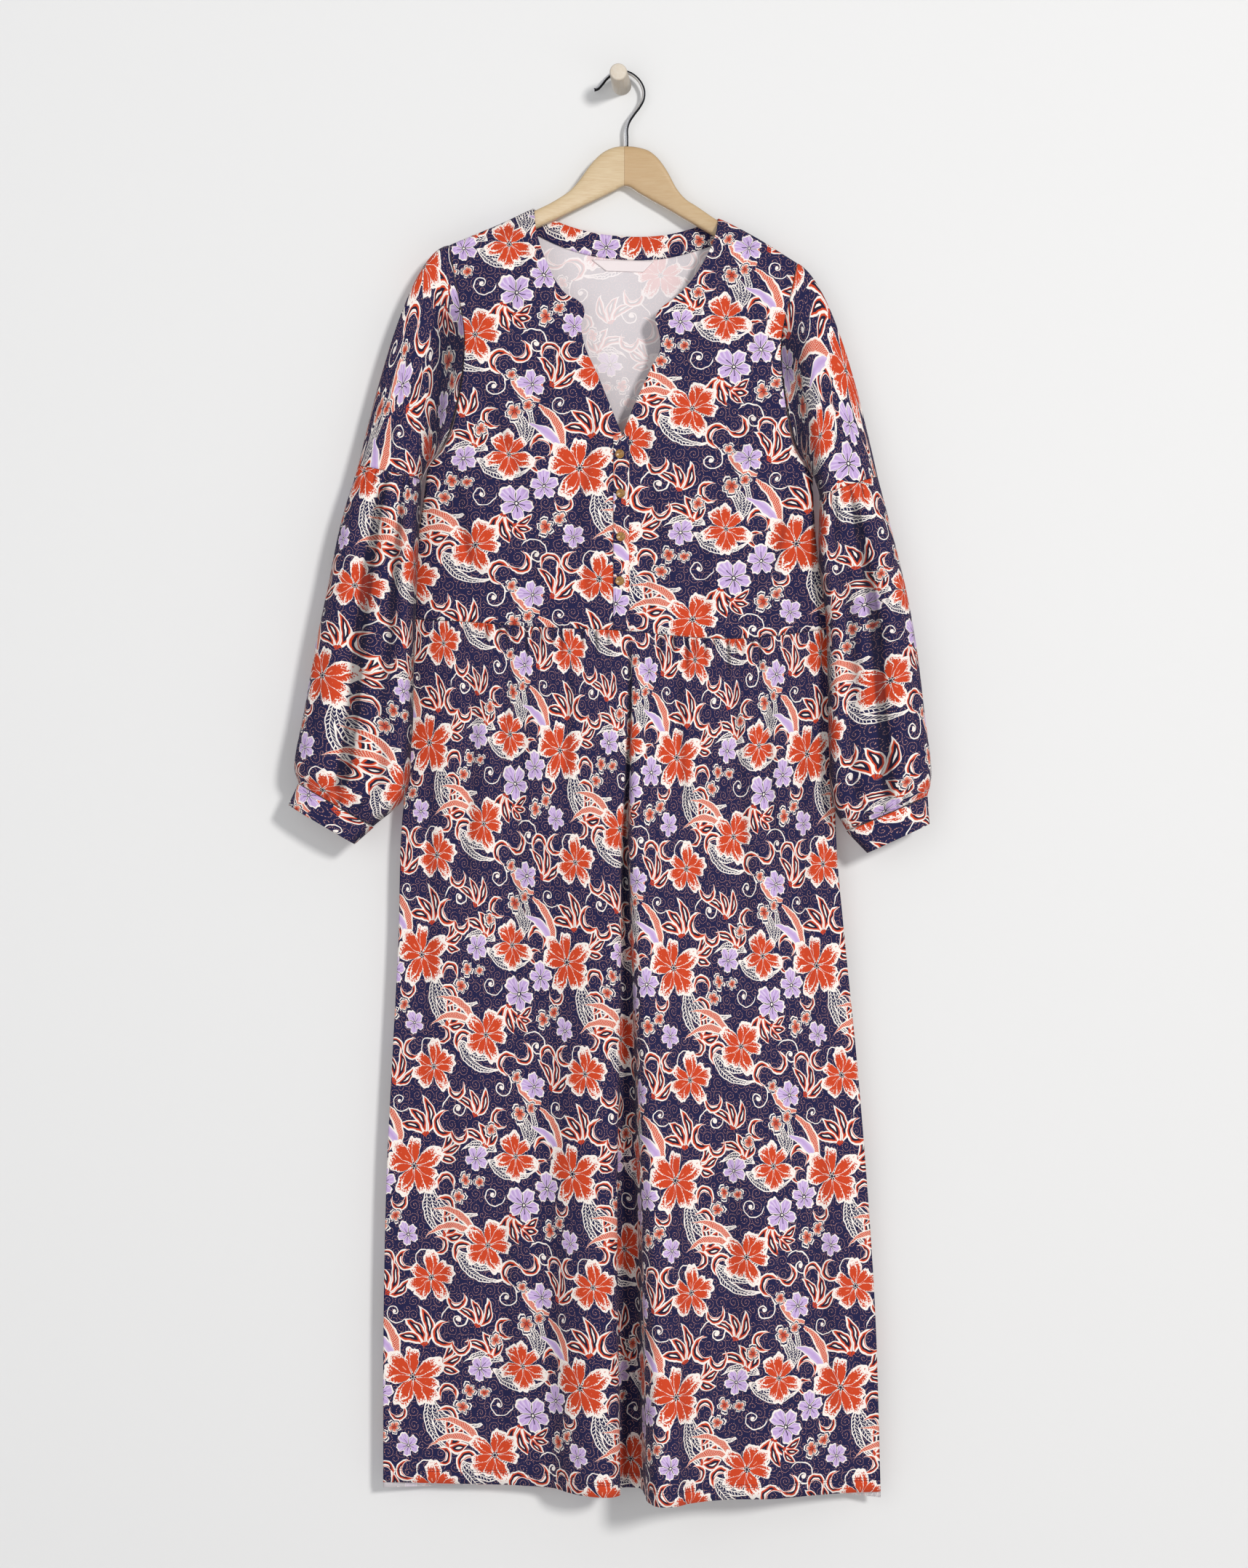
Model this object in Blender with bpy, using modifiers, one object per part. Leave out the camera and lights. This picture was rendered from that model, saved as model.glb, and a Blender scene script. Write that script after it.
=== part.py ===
"""Midi dress on a wooden hanger, which hangs on a round wooden wall peg.

The tables and the surface functions are in millimetres and become metres when a mesh is
placed. X runs to the right of someone who faces the dress, Y into the wall and Z up. The
origin is the centre of the peg's flat back face, where it meets the wall. A drop is a
distance below the origin. Cloth is an open surface that Solidify turns into a wall.
"""

import math
from collections import namedtuple

import bmesh
import bpy
import numpy as np

MM = 0.001

# Walls and gaps
CLOTH = 1.5                # wall of the printed jersey
TRIM = 1.2                 # wall of the neck band, the placket and the label
CUFF_WALL = 2.0            # two layers of jersey
LAYER_GAP = 0.3            # between a piece and the panel that it lies on
BAND_GAP = 0.9             # under the neck band, where the back's cloth curves
SEAM_GAP = 0.4             # between two pieces that meet edge to edge
SEAM_HALF = 0.9            # from a side or shoulder seam to the middle of each wall
SEAT_GAP = 1.25            # from the shoulder's ridge down to the hanger's upper edge
CUFF_GAP = 1.3             # where a sleeve bends into its cuff
SLEEVE_GAP = 0.8           # from an armhole's edge to its sleeve, at the shoulder
UNDERARM_GAP = 4.2         # the same where the two walls hang side by side
GAP_GROWS = 0.40           # share of the armhole, from the shoulder, at which the gap starts to grow
UNDERARM_CLOSES = 0.7      # share at which the sleeve's front and back turn to meet

# Peg and hook
PEG_LENGTH = 60.0
PEG_WALL_RADIUS = 9.8
PEG_END_RADIUS = 8.8
PEG_LEAN = -3.6            # how far the near end stands to the left
HOOK_DEPTH = -10.0
HOOK_WIRE = 1.9
HOOK_TIP = 1.35            # thickness of the hook's tip against its wire
HOOK_POINTS = 30

# Hanger body
HANGER_MIDDLE_X = 5.0
HANGER_MIDDLE_Y = -11.0
HANGER_SWEEP = 22.0        # how far the arms' ends come forward
HANGER_REACH = 200.0
HANGER_SWEEP_POWER = 1.6
HANGER_HALF = 6.5
HANGER_TIP_SHARE = 0.75    # half thickness against half height, where the arms' ends run out
HANGER_ROUNDING = 2.5      # power of the section's rounded oblong
HANGER_AROUND = 10

# Bodice
SIDE_POWER = 6             # how flat the body's section is before it turns to the side seam
BREAK = 0.57               # share of a bodice edge above the underarm and the foot of the V
CENTRE_X = 0.5
WAIST_MIDDLE = 562.0
HEM_MIDDLE = 1440.0
HEM_TILT = 10.0            # how much lower the hem is at the right side
BACK_HEM_DROP = 6.0        # how much lower the back hem is, so that it shows under the front
DRAPE_NEAR_NECK = 42.0
DRAPE_AT_TIP = 20.0
BACK_DRAPE = 14.0
NECK_PUSH = 7.0            # the hanger's middle pushes the back cloth towards the wall
BAND_TALL = 24.0
BAND_TOP = 0.10            # share of the back neck at which the band's upper edge starts
BAND_BOTTOM = 0.05         # the same of its lower edge
PLACKET_LEFT = -8.5
PLACKET_RIGHT = 7.5
PLACKET_TOP = 367.5

# Buttons
BUTTON_RADIUS = 4.7
BUTTON_THICK = 2.2
BUTTON_HOLE = 0.7
BUTTON_HOLE_OUT = 1.25

# Gathers
WAIST_GATHERS = 35         # gathers to the full width of the front, made only in two groups
BACK_GATHERS = 18
GATHER_DEEP = 2.3
GATHER_PEAK = 0.022        # share of the skirt's length at which the gathers are deepest
GATHER_FADE = 0.028        # share at which they start to die out
GATHER_END = 0.05
GROUP_EDGE = 0.04          # share of the width over which a group of gathers starts and stops
TIER_GATHERS = 12
CUFF_GATHERS = 10
SLEEVE_GATHER_DEEP = 0.035
SLEEVE_GATHER_PEAK = 0.05  # share of the lower tier from either end at which its gathers are deepest
SLEEVE_SQUARENESS = 0.8    # power that turns the sleeve's oval into a rounded oblong
CUFF_DEPTH = 13.0

BodyRow = namedtuple("BodyRow", "drop left right seam front back")
BODY = (
    BodyRow(130, -200, 200, -28, -40, -12),
    BodyRow(290, -199, 196, -29, -44, -12),
    BodyRow(405, -199, 195, -28, -46, -12),
    BodyRow(485, -211, 200, -27, -46, -12),
    BodyRow(560, -215, 214, -27, -45, -12),
    BodyRow(700, -219, 217, -28, -46, -12),
    BodyRow(790, -226, 220, -28, -46, -12),
    BodyRow(879, -228, 228, -29, -46, -12),
    BodyRow(998, -234, 240, -29, -46, -12),
    BodyRow(1118, -240, 250, -30, -46, -12),
    BodyRow(1237, -243, 258, -30, -46, -12),
    BodyRow(1450, -244, 265, -30, -46, -12),
)

RidgeRow = namedtuple("RidgeRow", "x drop")
RIDGE = (
    RidgeRow(-205, 190),
    RidgeRow(-190, 178),
    RidgeRow(-176, 171),
    RidgeRow(-123, 147),
    RidgeRow(-90, 131),
    RidgeRow(99, 141),
    RidgeRow(138, 162),
    RidgeRow(179, 189),
    RidgeRow(192, 197.5),
    RidgeRow(206, 210),
)

# The least that the cloth stands out from the hanger's middle, below the ridge
WrapRow = namedtuple("WrapRow", "below out")
WRAP = (
    WrapRow(0, SEAM_HALF),
    WrapRow(1.4, 5.5),
    WrapRow(5.2, 8.3),
    WrapRow(11, 9),
    WrapRow(60, 9),
    WrapRow(170, -20),
)

EdgePoint = namedtuple("EdgePoint", "x drop")
NECK_LEFT = (
    EdgePoint(-90, 131),
    EdgePoint(-87, 158),
    EdgePoint(-75, 193),
    EdgePoint(-66, 211),
    EdgePoint(-57, 222),
    EdgePoint(-46, 228),
    EdgePoint(-39, 235),
    EdgePoint(-38, 243),
    EdgePoint(-41, 252),
    EdgePoint(-39, 270),
    EdgePoint(-24, 306),
    EdgePoint(-7, 348),
    EdgePoint(CENTRE_X - SEAM_GAP / 2, 366),
)
NECK_RIGHT = (
    EdgePoint(99, 141),
    EdgePoint(96, 159),
    EdgePoint(80, 195),
    EdgePoint(69, 211),
    EdgePoint(53, 227),
    EdgePoint(38, 239),
    EdgePoint(34, 248),
    EdgePoint(37, 258),
    EdgePoint(39, 279),
    EdgePoint(30, 297),
    EdgePoint(22, 315),
    EdgePoint(10, 342),
    EdgePoint(CENTRE_X + SEAM_GAP / 2, 366),
)
ARMHOLE_LEFT = (
    EdgePoint(-176, 171),
    EdgePoint(-170, 205),
    EdgePoint(-160, 266),
    EdgePoint(-161, 295),
    EdgePoint(-166, 330),
    EdgePoint(-180, 376),
    EdgePoint(-199, 398),
)
ARMHOLE_RIGHT = (
    EdgePoint(179, 189),
    EdgePoint(173, 217),
    EdgePoint(162, 276),
    EdgePoint(163, 303),
    EdgePoint(167, 335),
    EdgePoint(178, 383),
    EdgePoint(195, 406),
)
BACK_NECK = (
    EdgePoint(-90, 131),
    EdgePoint(-69, 141),
    EdgePoint(-34, 152),
    EdgePoint(3, 156.5),
    EdgePoint(47, 155),
    EdgePoint(77, 148),
    EdgePoint(99, 141),
)
WAIST = (
    EdgePoint(-220, 552),
    EdgePoint(-153, 556.5),
    EdgePoint(-100, 560.5),
    EdgePoint(-50, 563),
    EdgePoint(0, 565),
    EdgePoint(40, 569),
    EdgePoint(80, 572.5),
    EdgePoint(110, 573.5),
    EdgePoint(150, 571),
    EdgePoint(220, 561),
)

# The skirt's folds: where each stands across the width at the waist and at the hem, and its hem depth
FoldRow = namedtuple("FoldRow", "waist hem depth")
FRONT_FOLDS = (
    FoldRow(0.000, 0.000, -30),
    FoldRow(0.130, 0.136, -32),
    FoldRow(0.260, 0.273, -34),
    FoldRow(0.360, 0.342, -42),
    FoldRow(0.430, 0.381, -64),
    FoldRow(0.475, 0.418, -76),
    FoldRow(0.505, 0.460, -77),
    FoldRow(0.513, 0.474, -69),
    FoldRow(0.515, 0.473, -44),
    FoldRow(0.518, 0.486, -33),
    FoldRow(0.521, 0.511, -34),
    FoldRow(0.523, 0.526, -62),
    FoldRow(0.526, 0.535, -98),
    FoldRow(0.532, 0.553, -113),
    FoldRow(0.550, 0.582, -111),
    FoldRow(0.585, 0.610, -97),
    FoldRow(0.660, 0.684, -77),
    FoldRow(0.760, 0.780, -70),
    FoldRow(0.860, 0.874, -49),
    FoldRow(0.940, 0.941, -37),
    FoldRow(1.000, 1.000, -30),
)
BACK_FOLDS = (
    FoldRow(0.00, 0.00, -30),
    FoldRow(0.11, 0.12, -16),
    FoldRow(0.24, 0.25, -10),
    FoldRow(0.36, 0.35, -21),
    FoldRow(0.46, 0.46, -11),
    FoldRow(0.59, 0.60, -9),
    FoldRow(0.70, 0.70, -20),
    FoldRow(0.83, 0.83, -10),
    FoldRow(0.92, 0.91, -14),
    FoldRow(1.00, 1.00, -30),
)
GatherGroup = namedtuple("GatherGroup", "start end")
FRONT_GROUPS = (GatherGroup(0.14, 0.48), GatherGroup(0.60, 0.84))
BACK_GROUPS = (GatherGroup(0.14, 0.46), GatherGroup(0.54, 0.86))

# Sleeves, from the tier seam down: both edges of the flattened tube, its middle and half depth
SleeveRow = namedtuple("SleeveRow", "along outer_x outer_drop inner_x inner_drop middle half")
SLEEVE_LEFT = (
    SleeveRow(0.00, -269, 397, -206, 412, -31, 24),
    SleeveRow(0.16, -285, 450, -217, 470, -33, 26),
    SleeveRow(0.37, -300, 523, -219, 545, -35, 28),
    SleeveRow(0.56, -312, 582, -221, 612, -36, 29),
    SleeveRow(0.74, -322, 641, -222, 678, -38, 30),
    SleeveRow(0.91, -333, 704, -231, 740, -39, 27),
    SleeveRow(1.00, -329, 720, -253, 764, -40, 14),
)
SLEEVE_RIGHT = (
    SleeveRow(0.00, 261, 408, 205, 428, -31, 24),
    SleeveRow(0.16, 276, 466, 209, 488, -33, 26),
    SleeveRow(0.37, 291, 530, 217, 553, -35, 28),
    SleeveRow(0.56, 301, 588, 221, 617, -36, 29),
    SleeveRow(0.74, 308, 648, 222, 681, -38, 30),
    SleeveRow(0.91, 315, 714, 225, 745, -39, 27),
    SleeveRow(1.00, 311, 733, 229, 768, -40, 14),
)
CUFF_END_LEFT = SleeveRow(1.0, -339, 743, -272, 782, -40, CUFF_DEPTH)
CUFF_END_RIGHT = SleeveRow(1.0, 313, 762, 250, 791, -40, CUFF_DEPTH)
SLEEVE_HEAD_LEFT = EdgePoint(4.5, -110)     # how the head of the sleeve bulges past a straight line
SLEEVE_HEAD_RIGHT = EdgePoint(-1.0, -88)
HEAD_FORWARD = 6.0
CAP_TURN = 0.08            # how far the cap's columns spread from the underarm on their way down

# Long soft folds down a sleeve: where across it, how wide, how deep against the half depth
SleeveFold = namedtuple("SleeveFold", "across width deep")
SLEEVE_FOLDS_FRONT = (SleeveFold(0.10, 0.20, 0.40), SleeveFold(-0.55, 0.18, 0.25))
SLEEVE_FOLDS_BACK = (SleeveFold(-0.10, 0.25, 0.35), SleeveFold(0.50, 0.20, 0.20))
FOLD_START = 0.13          # share of the tier from either end at which the folds are full

HangerRow = namedtuple("HangerRow", "x top bottom")
HANGER = (
    HangerRow(-185, 182.0, 191.0),
    HangerRow(-182.5, 179.0, 194.0),
    HangerRow(-179, 175.5, 195.0),
    HangerRow(-172, 169.2 + SEAT_GAP, 192.5),
    HangerRow(-150, 159.4 + SEAT_GAP, 181.5),
    HangerRow(-123, 147.0 + SEAT_GAP, 168.0),
    HangerRow(-90, 131.0 + 2 * SEAT_GAP, 152.0),
    HangerRow(-65, 120.0, 140.0),
    HangerRow(-52, 110.5, 133.5),
    HangerRow(-43, 100.0, 129.0),
    HangerRow(-34, 87.0, 124.5),
    HangerRow(-22, 74.0, 118.5),
    HangerRow(-9, 67.0, 112.0),
    HangerRow(5, 65.5, 106.0),
    HangerRow(18, 67.0, 113.5),
    HangerRow(29, 71.0, 120.0),
    HangerRow(38, 79.0, 125.0),
    HangerRow(47, 92.0, 130.0),
    HangerRow(56, 109.0, 135.5),
    HangerRow(65, 120.0, 141.0),
    HangerRow(76, 127.5, 147.5),
    HangerRow(99, 141.0 + 2 * SEAT_GAP, 161.0),
    HangerRow(138, 162.0 + SEAT_GAP, 184.0),
    HangerRow(160, 175.8 + SEAT_GAP, 197.0),
    HangerRow(174, 185.5 + SEAT_GAP, 206.0),
    HangerRow(182, 194.0, 210.0),
    HangerRow(187, 200.0, 211.0),
    HangerRow(190, 203.5, 209.0),
)

HOOK = (
    EdgePoint(5, 65.1),
    EdgePoint(5, 56),
    EdgePoint(5, 47),
    EdgePoint(7, 40),
    EdgePoint(12, 32),
    EdgePoint(18, 24),
    EdgePoint(22, 16),
    EdgePoint(22.5, 8),
    EdgePoint(19.5, 0),
    EdgePoint(14, -6.5),
    EdgePoint(7, -10.8),
    EdgePoint(-0.6, -12),
    EdgePoint(-9, -10.2),
    EdgePoint(-16, -4.8),
    EdgePoint(-21, 1.5),
    EdgePoint(-25, 5.5),
    EdgePoint(-29.5, 7),
)

BUTTONS = (EdgePoint(-2, 386), EdgePoint(-1, 426), EdgePoint(-1, 470), EdgePoint(-2, 515))
LABEL_TOP_LEFT = EdgePoint(-31, 181)
LABEL_TOP_RIGHT = EdgePoint(33, 182.5)
LABEL_BOTTOM_LEFT = EdgePoint(-16, 193)
LABEL_BOTTOM_RIGHT = EdgePoint(22, 194)

# Rows and columns of the panels
BODICE_ROWS = (0, 0.0035, 0.013, 0.0275, 0.06, 0.11, 0.16, 0.205, 0.24, 0.265, 0.283, 0.302,
               0.345, 0.40, 0.455, 0.51, BREAK, 0.67, 0.78, 0.89, 1)
BACK_ROWS = (0, 0.0035, 0.013, 0.0275, 0.06, 0.12, 0.20, 0.29, 0.38, 0.46, 0.52, BREAK, 0.68, 0.79,
             0.90, 1)
BODICE_COLUMNS = 8
BACK_COLUMNS = 16
BACK_NECK_COLUMNS = (0.25, 0.258, 0.272, 0.728, 0.742, 0.75)
UPPER_SLEEVE_ROWS = (0, 0.12, 0.24, 0.38, 0.55, 0.77, 1)
LOWER_SLEEVE_ROWS = (0, 0.025, 0.06, 0.13, 0.25, 0.40, 0.56, 0.71, 0.84, 0.93, 0.97, 1)
SLEEVE_COLUMNS = 20
SKIRT_ROWS = (0, 0.011, 0.026, 0.05, 0.09, 0.16, 0.24, 0.34, 0.45, 0.56, 0.67, 0.78, 0.89, 1)
FRONT_SKIRT_COLUMNS = 36
BACK_SKIRT_COLUMNS = 22
FRONT_CROWDING = 0.45      # how much closer the columns are at the centre fold

# Colours, linear, with roughness
JERSEY = ((0.026, 0.023, 0.077, 1), 0.85)
REVERSE = ((0.60, 0.58, 0.64, 1), 0.9)
LABEL_CLOTH = ((0.80, 0.70, 0.70, 1), 0.7)
HORN = ((0.28, 0.16, 0.06, 1), 0.35)
BEECH = ((0.62, 0.42, 0.24, 1), 0.4)
PALE_WOOD = ((0.70, 0.55, 0.36, 1), 0.6)
CHROME = ((0.75, 0.75, 0.76, 1), 0.12)


def through(keys, values, at):
    """Read a smooth curve through a table's rows."""
    keys = np.asarray(keys, float)
    values = np.asarray(values, float)
    at = np.clip(at, keys[0], keys[-1])
    slopes = np.gradient(values, keys)
    row = np.clip(np.searchsorted(keys, at) - 1, 0, len(keys) - 2)
    span = keys[row + 1] - keys[row]
    t = (at - keys[row]) / span
    start = values[row] * (1 + 2 * t) * (1 - t) ** 2 + slopes[row] * span * t * (1 - t) ** 2
    end = values[row + 1] * t * t * (3 - 2 * t) + slopes[row + 1] * span * t * t * (t - 1)
    return start + end


def column(table, name):
    """One named column of a table."""
    return [getattr(row, name) for row in table]


def along(points, share):
    """Points at a share of the length of a smooth path through the given points."""
    points = np.asarray(points, float)
    steps = np.linalg.norm(np.diff(points, axis=0), axis=1)
    keys = np.concatenate(([0.0], np.cumsum(steps)))
    at = np.asarray(share, float) * keys[-1]
    return np.stack([through(keys, points[:, axis], at) for axis in range(points.shape[1])], axis=-1)


def smooth(t):
    """Ease from 0 to 1."""
    t = np.clip(t, 0, 1)
    return t * t * (3 - 2 * t)


def mix(a, b, t):
    """Straight blend from a to b."""
    return a + (b - a) * t


def body(name, drop):
    """A column of the body table at a drop."""
    return through(column(BODY, "drop"), column(BODY, name), drop)


def ridge_drop(x):
    """The line along the top of the shoulders."""
    return through(column(RIDGE, "x"), column(RIDGE, "drop"), x)


def hanger_depth(x):
    """The hanger's middle, whose arms sweep forward."""
    reach = np.abs(x - HANGER_MIDDLE_X) / HANGER_REACH
    return HANGER_MIDDLE_Y - HANGER_SWEEP * reach ** HANGER_SWEEP_POWER


def side_share(x, drop):
    """Flatness of the body's section: 1 over most of the width and 0 at a side seam."""
    left = body("left", drop)
    right = body("right", drop)
    across = np.clip((2 * x - left - right) / (right - left), -1, 1)
    return 1 - np.abs(across) ** SIDE_POWER


def drape(x, drop, length):
    """How far the cloth has come away from the hanger, 0 on the ridge and 1 below."""
    below = np.clip((drop - ridge_drop(x)) / length, 0, 1)
    return 1 - (1 - below) ** 2


def wrap(x, drop):
    """Distance that keeps the cloth off the hanger's rounded edge."""
    below = np.maximum(drop - ridge_drop(x), 0)
    return np.interp(below, column(WRAP, "below"), column(WRAP, "out"))


def front_depth(x, drop):
    """The bodice's front surface."""
    seam = body("seam", drop) - SEAM_HALF
    flat = seam + (body("front", drop) - seam) * side_share(x, drop)
    middle = hanger_depth(x)
    length = mix(DRAPE_NEAR_NECK, DRAPE_AT_TIP, np.clip(np.abs(x) / HANGER_REACH, 0, 1))
    hung = middle + (flat - middle) * drape(x, drop, length)
    return np.minimum(hung, middle - wrap(x, drop))


def back_depth(x, drop):
    """The bodice's back surface."""
    seam = body("seam", drop) + SEAM_HALF
    flat = seam + (body("back", drop) - seam) * side_share(x, drop)
    near_neck = np.exp(-((x - HANGER_MIDDLE_X) / 90) ** 2 - ((drop - 140) / 70) ** 2)
    flat = flat + NECK_PUSH * near_neck
    middle = hanger_depth(x)
    hung = middle + (flat - middle) * drape(x, drop, BACK_DRAPE)
    return np.maximum(hung, middle + wrap(x, drop))


def two_part_edge(upper, lower, v):
    """A bodice edge: the upper path down to the break, then the lower one."""
    if v <= BREAK:
        return along(upper, v / BREAK)
    return along(lower, (v - BREAK) / (1 - BREAK))


def waist_drop(x):
    """The waist seam."""
    return through(column(WAIST, "x"), column(WAIST, "drop"), x)


def side_line(side):
    """Points down a side seam, from the underarm to the waist."""
    top = (ARMHOLE_LEFT if side == "left" else ARMHOLE_RIGHT)[-1].drop
    bottom = float(waist_drop(body(side, WAIST_MIDDLE)))
    drops = np.linspace(top, bottom, 5)
    return np.stack([body(side, drops), drops], axis=-1)


def centre_line(x):
    """Points down the centre front, from the foot of the V to the waist."""
    return np.array([(x, NECK_LEFT[-1].drop), (x, float(waist_drop(x)))])


def coons(u, v, left, right, top, bottom):
    """A patch between four edges; left and right are points at v, top and bottom are paths in u."""
    u = u[:, None]
    across = mix(left, right, u)
    top_bow = top - mix(top[:1], top[-1:], u)
    bottom_bow = bottom - mix(bottom[:1], bottom[-1:], u)
    return across + (1 - v) * top_bow + v * bottom_bow


def edge_rows(make, u):
    """An edge at the given columns, with its two ends added for the patch's bow."""
    return make(np.concatenate(([0.0], u, [1.0])))


def bodice_patch(u, v, left, right, make_top, make_bottom):
    """Bodice points at the columns u of row v, as x and drop."""
    padded = np.concatenate(([0.0], u, [1.0]))
    top = edge_rows(make_top, u)
    bottom = edge_rows(make_bottom, u)
    return coons(padded, v, left, right, top, bottom)[1:-1]


def straight_top(start, end):
    """A shoulder seam, along the ridge."""
    def make(u):
        x = mix(start.x, end.x, u)
        return np.stack([x, ridge_drop(x)], axis=-1)
    return make


def waist_edge(start, end):
    """The bodice's lower edge between two places across."""
    def make(u):
        x = mix(start, end, u)
        return np.stack([x, waist_drop(x)], axis=-1)
    return make


def with_depth(points, depth):
    """Points of x and drop, given their depth: x, y and z."""
    x = points[:, 0]
    drop = points[:, 1]
    return np.stack([x, depth(x, drop), -drop], axis=-1)


def front_left(u, v):
    """Left front, from the armhole to the centre."""
    outer = two_part_edge(ARMHOLE_LEFT, side_line("left"), v)
    edge = CENTRE_X - SEAM_GAP / 2
    inner = two_part_edge(NECK_LEFT, centre_line(edge), v)
    top = straight_top(ARMHOLE_LEFT[0], NECK_LEFT[0])
    bottom = waist_edge(float(body("left", WAIST_MIDDLE)), edge)
    return with_depth(bodice_patch(u, v, outer, inner, top, bottom), front_depth)


def front_right(u, v):
    """Right front, from the centre to the armhole."""
    outer = two_part_edge(ARMHOLE_RIGHT, side_line("right"), v)
    edge = CENTRE_X + SEAM_GAP / 2
    inner = two_part_edge(NECK_RIGHT, centre_line(edge), v)
    top = straight_top(NECK_RIGHT[0], ARMHOLE_RIGHT[0])
    bottom = waist_edge(edge, float(body("right", WAIST_MIDDLE)))
    return with_depth(bodice_patch(u, v, inner, outer, top, bottom), front_depth)


def back_top(u):
    """The back's upper edge: left shoulder, neck and right shoulder."""
    x_left = mix(ARMHOLE_LEFT[0].x, BACK_NECK[0].x, u * 4)
    x_right = mix(BACK_NECK[-1].x, ARMHOLE_RIGHT[0].x, u * 4 - 3)
    neck = along(BACK_NECK, np.clip(u * 2 - 0.5, 0, 1))
    x = np.where(u < 0.25, x_left, np.where(u > 0.75, x_right, neck[:, 0]))
    drop = np.where((u < 0.25) | (u > 0.75), ridge_drop(x), neck[:, 1])
    return np.stack([x, drop], axis=-1)


def back_piece(u, v):
    """Back bodice, from the left armhole to the right one."""
    left = two_part_edge(ARMHOLE_LEFT, side_line("left"), v)
    right = two_part_edge(ARMHOLE_RIGHT, side_line("right"), v)
    bottom = waist_edge(float(body("left", WAIST_MIDDLE)), float(body("right", WAIST_MIDDLE)))
    return with_depth(bodice_patch(u, v, left, right, back_top, bottom), back_depth)


def neck_band(u, v):
    """The strip that lies inside the back neck."""
    top = along(BACK_NECK, mix(BAND_TOP, 1 - BAND_TOP, u))
    bottom = along(BACK_NECK, mix(BAND_BOTTOM, 1 - BAND_BOTTOM, u)) + np.array([0, BAND_TALL])
    lifted = with_depth(mix(top, bottom, v), back_depth)
    lifted[:, 1] -= (CLOTH + TRIM) / 2 + BAND_GAP
    return lifted


def label(u, v):
    """The bare label under the neck band."""
    top = mix(np.array([LABEL_TOP_LEFT]), np.array([LABEL_TOP_RIGHT]), u[:, None])
    bottom = mix(np.array([LABEL_BOTTOM_LEFT]), np.array([LABEL_BOTTOM_RIGHT]), u[:, None])
    lifted = with_depth(mix(top, bottom, v), back_depth)
    lifted[:, 1] -= (CLOTH + TRIM) / 2 + LAYER_GAP
    return lifted


def placket(u, v):
    """The button strip, which lies on the edges of both fronts."""
    x = mix(PLACKET_LEFT, PLACKET_RIGHT, u)
    drop = mix(PLACKET_TOP, waist_drop(x), v)
    lifted = with_depth(np.stack([x, drop], axis=-1), front_depth)
    lifted[:, 1] -= (CLOTH + TRIM) / 2 + LAYER_GAP
    return lifted


def gather(u, v, count, groups, deep):
    """Small gathers under a seam, only inside the groups."""
    inside = sum(smooth((u - g.start) / GROUP_EDGE) * smooth((g.end - u) / GROUP_EDGE) for g in groups)
    swell = v / GATHER_PEAK * np.exp(1 - v / GATHER_PEAK)
    swell *= 1 - smooth((v - GATHER_FADE) / (GATHER_END - GATHER_FADE))
    uneven = 0.75 + 0.25 * np.sin(2 * np.pi * count * u * 0.37 + 1.0)
    return deep * inside * swell * uneven * np.cos(2 * np.pi * count * u)


def skirt_section(v, folds, depth, seam_shift):
    """The skirt's folds at a share of its length: x and y of each fold row."""
    drop = mix(WAIST_MIDDLE, HEM_MIDDLE, v)
    left = body("left", drop)
    right = body("right", drop)
    waist_x = mix(body("left", WAIST_MIDDLE), body("right", WAIST_MIDDLE), np.array(column(folds, "waist")))
    waist_y = depth(waist_x, waist_drop(waist_x))
    across = mix(np.array(column(folds, "waist")), np.array(column(folds, "hem")), smooth(v / 0.8))
    y = mix(waist_y, np.array(column(folds, "depth"), float), v ** 0.9)
    y[0] = y[-1] = float(body("seam", drop)) + seam_shift
    return np.stack([mix(left, right, across), y], axis=-1)


def skirt(u, v, folds, depth, seam_shift, hem_drop):
    """Skirt points at the columns u of row v, without gathers."""
    plan = along(skirt_section(v, folds, depth, seam_shift), u)
    across = (plan[:, 0] - plan[0, 0]) / (plan[-1, 0] - plan[0, 0])
    top = waist_drop(mix(body("left", WAIST_MIDDLE), body("right", WAIST_MIDDLE), across)) + SEAM_GAP
    bottom = HEM_MIDDLE + HEM_TILT * (across - 0.5) + hem_drop
    return np.stack([plan[:, 0], plan[:, 1], -mix(top, bottom, v)], axis=-1)


def skirt_front(u, v):
    """Skirt front, with the deep centre fold."""
    points = skirt(u, v, FRONT_FOLDS, front_depth, -SEAM_HALF, 0.0)
    points[:, 1] -= gather(u, v, WAIST_GATHERS, FRONT_GROUPS, GATHER_DEEP)
    return points


def skirt_back(u, v):
    """Skirt back, whose hem hangs a little lower."""
    points = skirt(u, v, BACK_FOLDS, back_depth, SEAM_HALF, BACK_HEM_DROP)
    points[:, 1] += gather(u, v, BACK_GATHERS, BACK_GROUPS, GATHER_DEEP)
    return points


def sleeve_row(table, v):
    """A sleeve table's columns at a share of its length."""
    keys = column(table, "along")
    return SleeveRow(*(float(through(keys, column(table, name), v)) for name in SleeveRow._fields))


def folded(across, folds, strength):
    """What a sleeve's folds leave of its half depth."""
    cut = sum(f.deep * np.exp(-((across - f.across) / f.width) ** 2) for f in folds)
    return 1 - strength * cut


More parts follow.
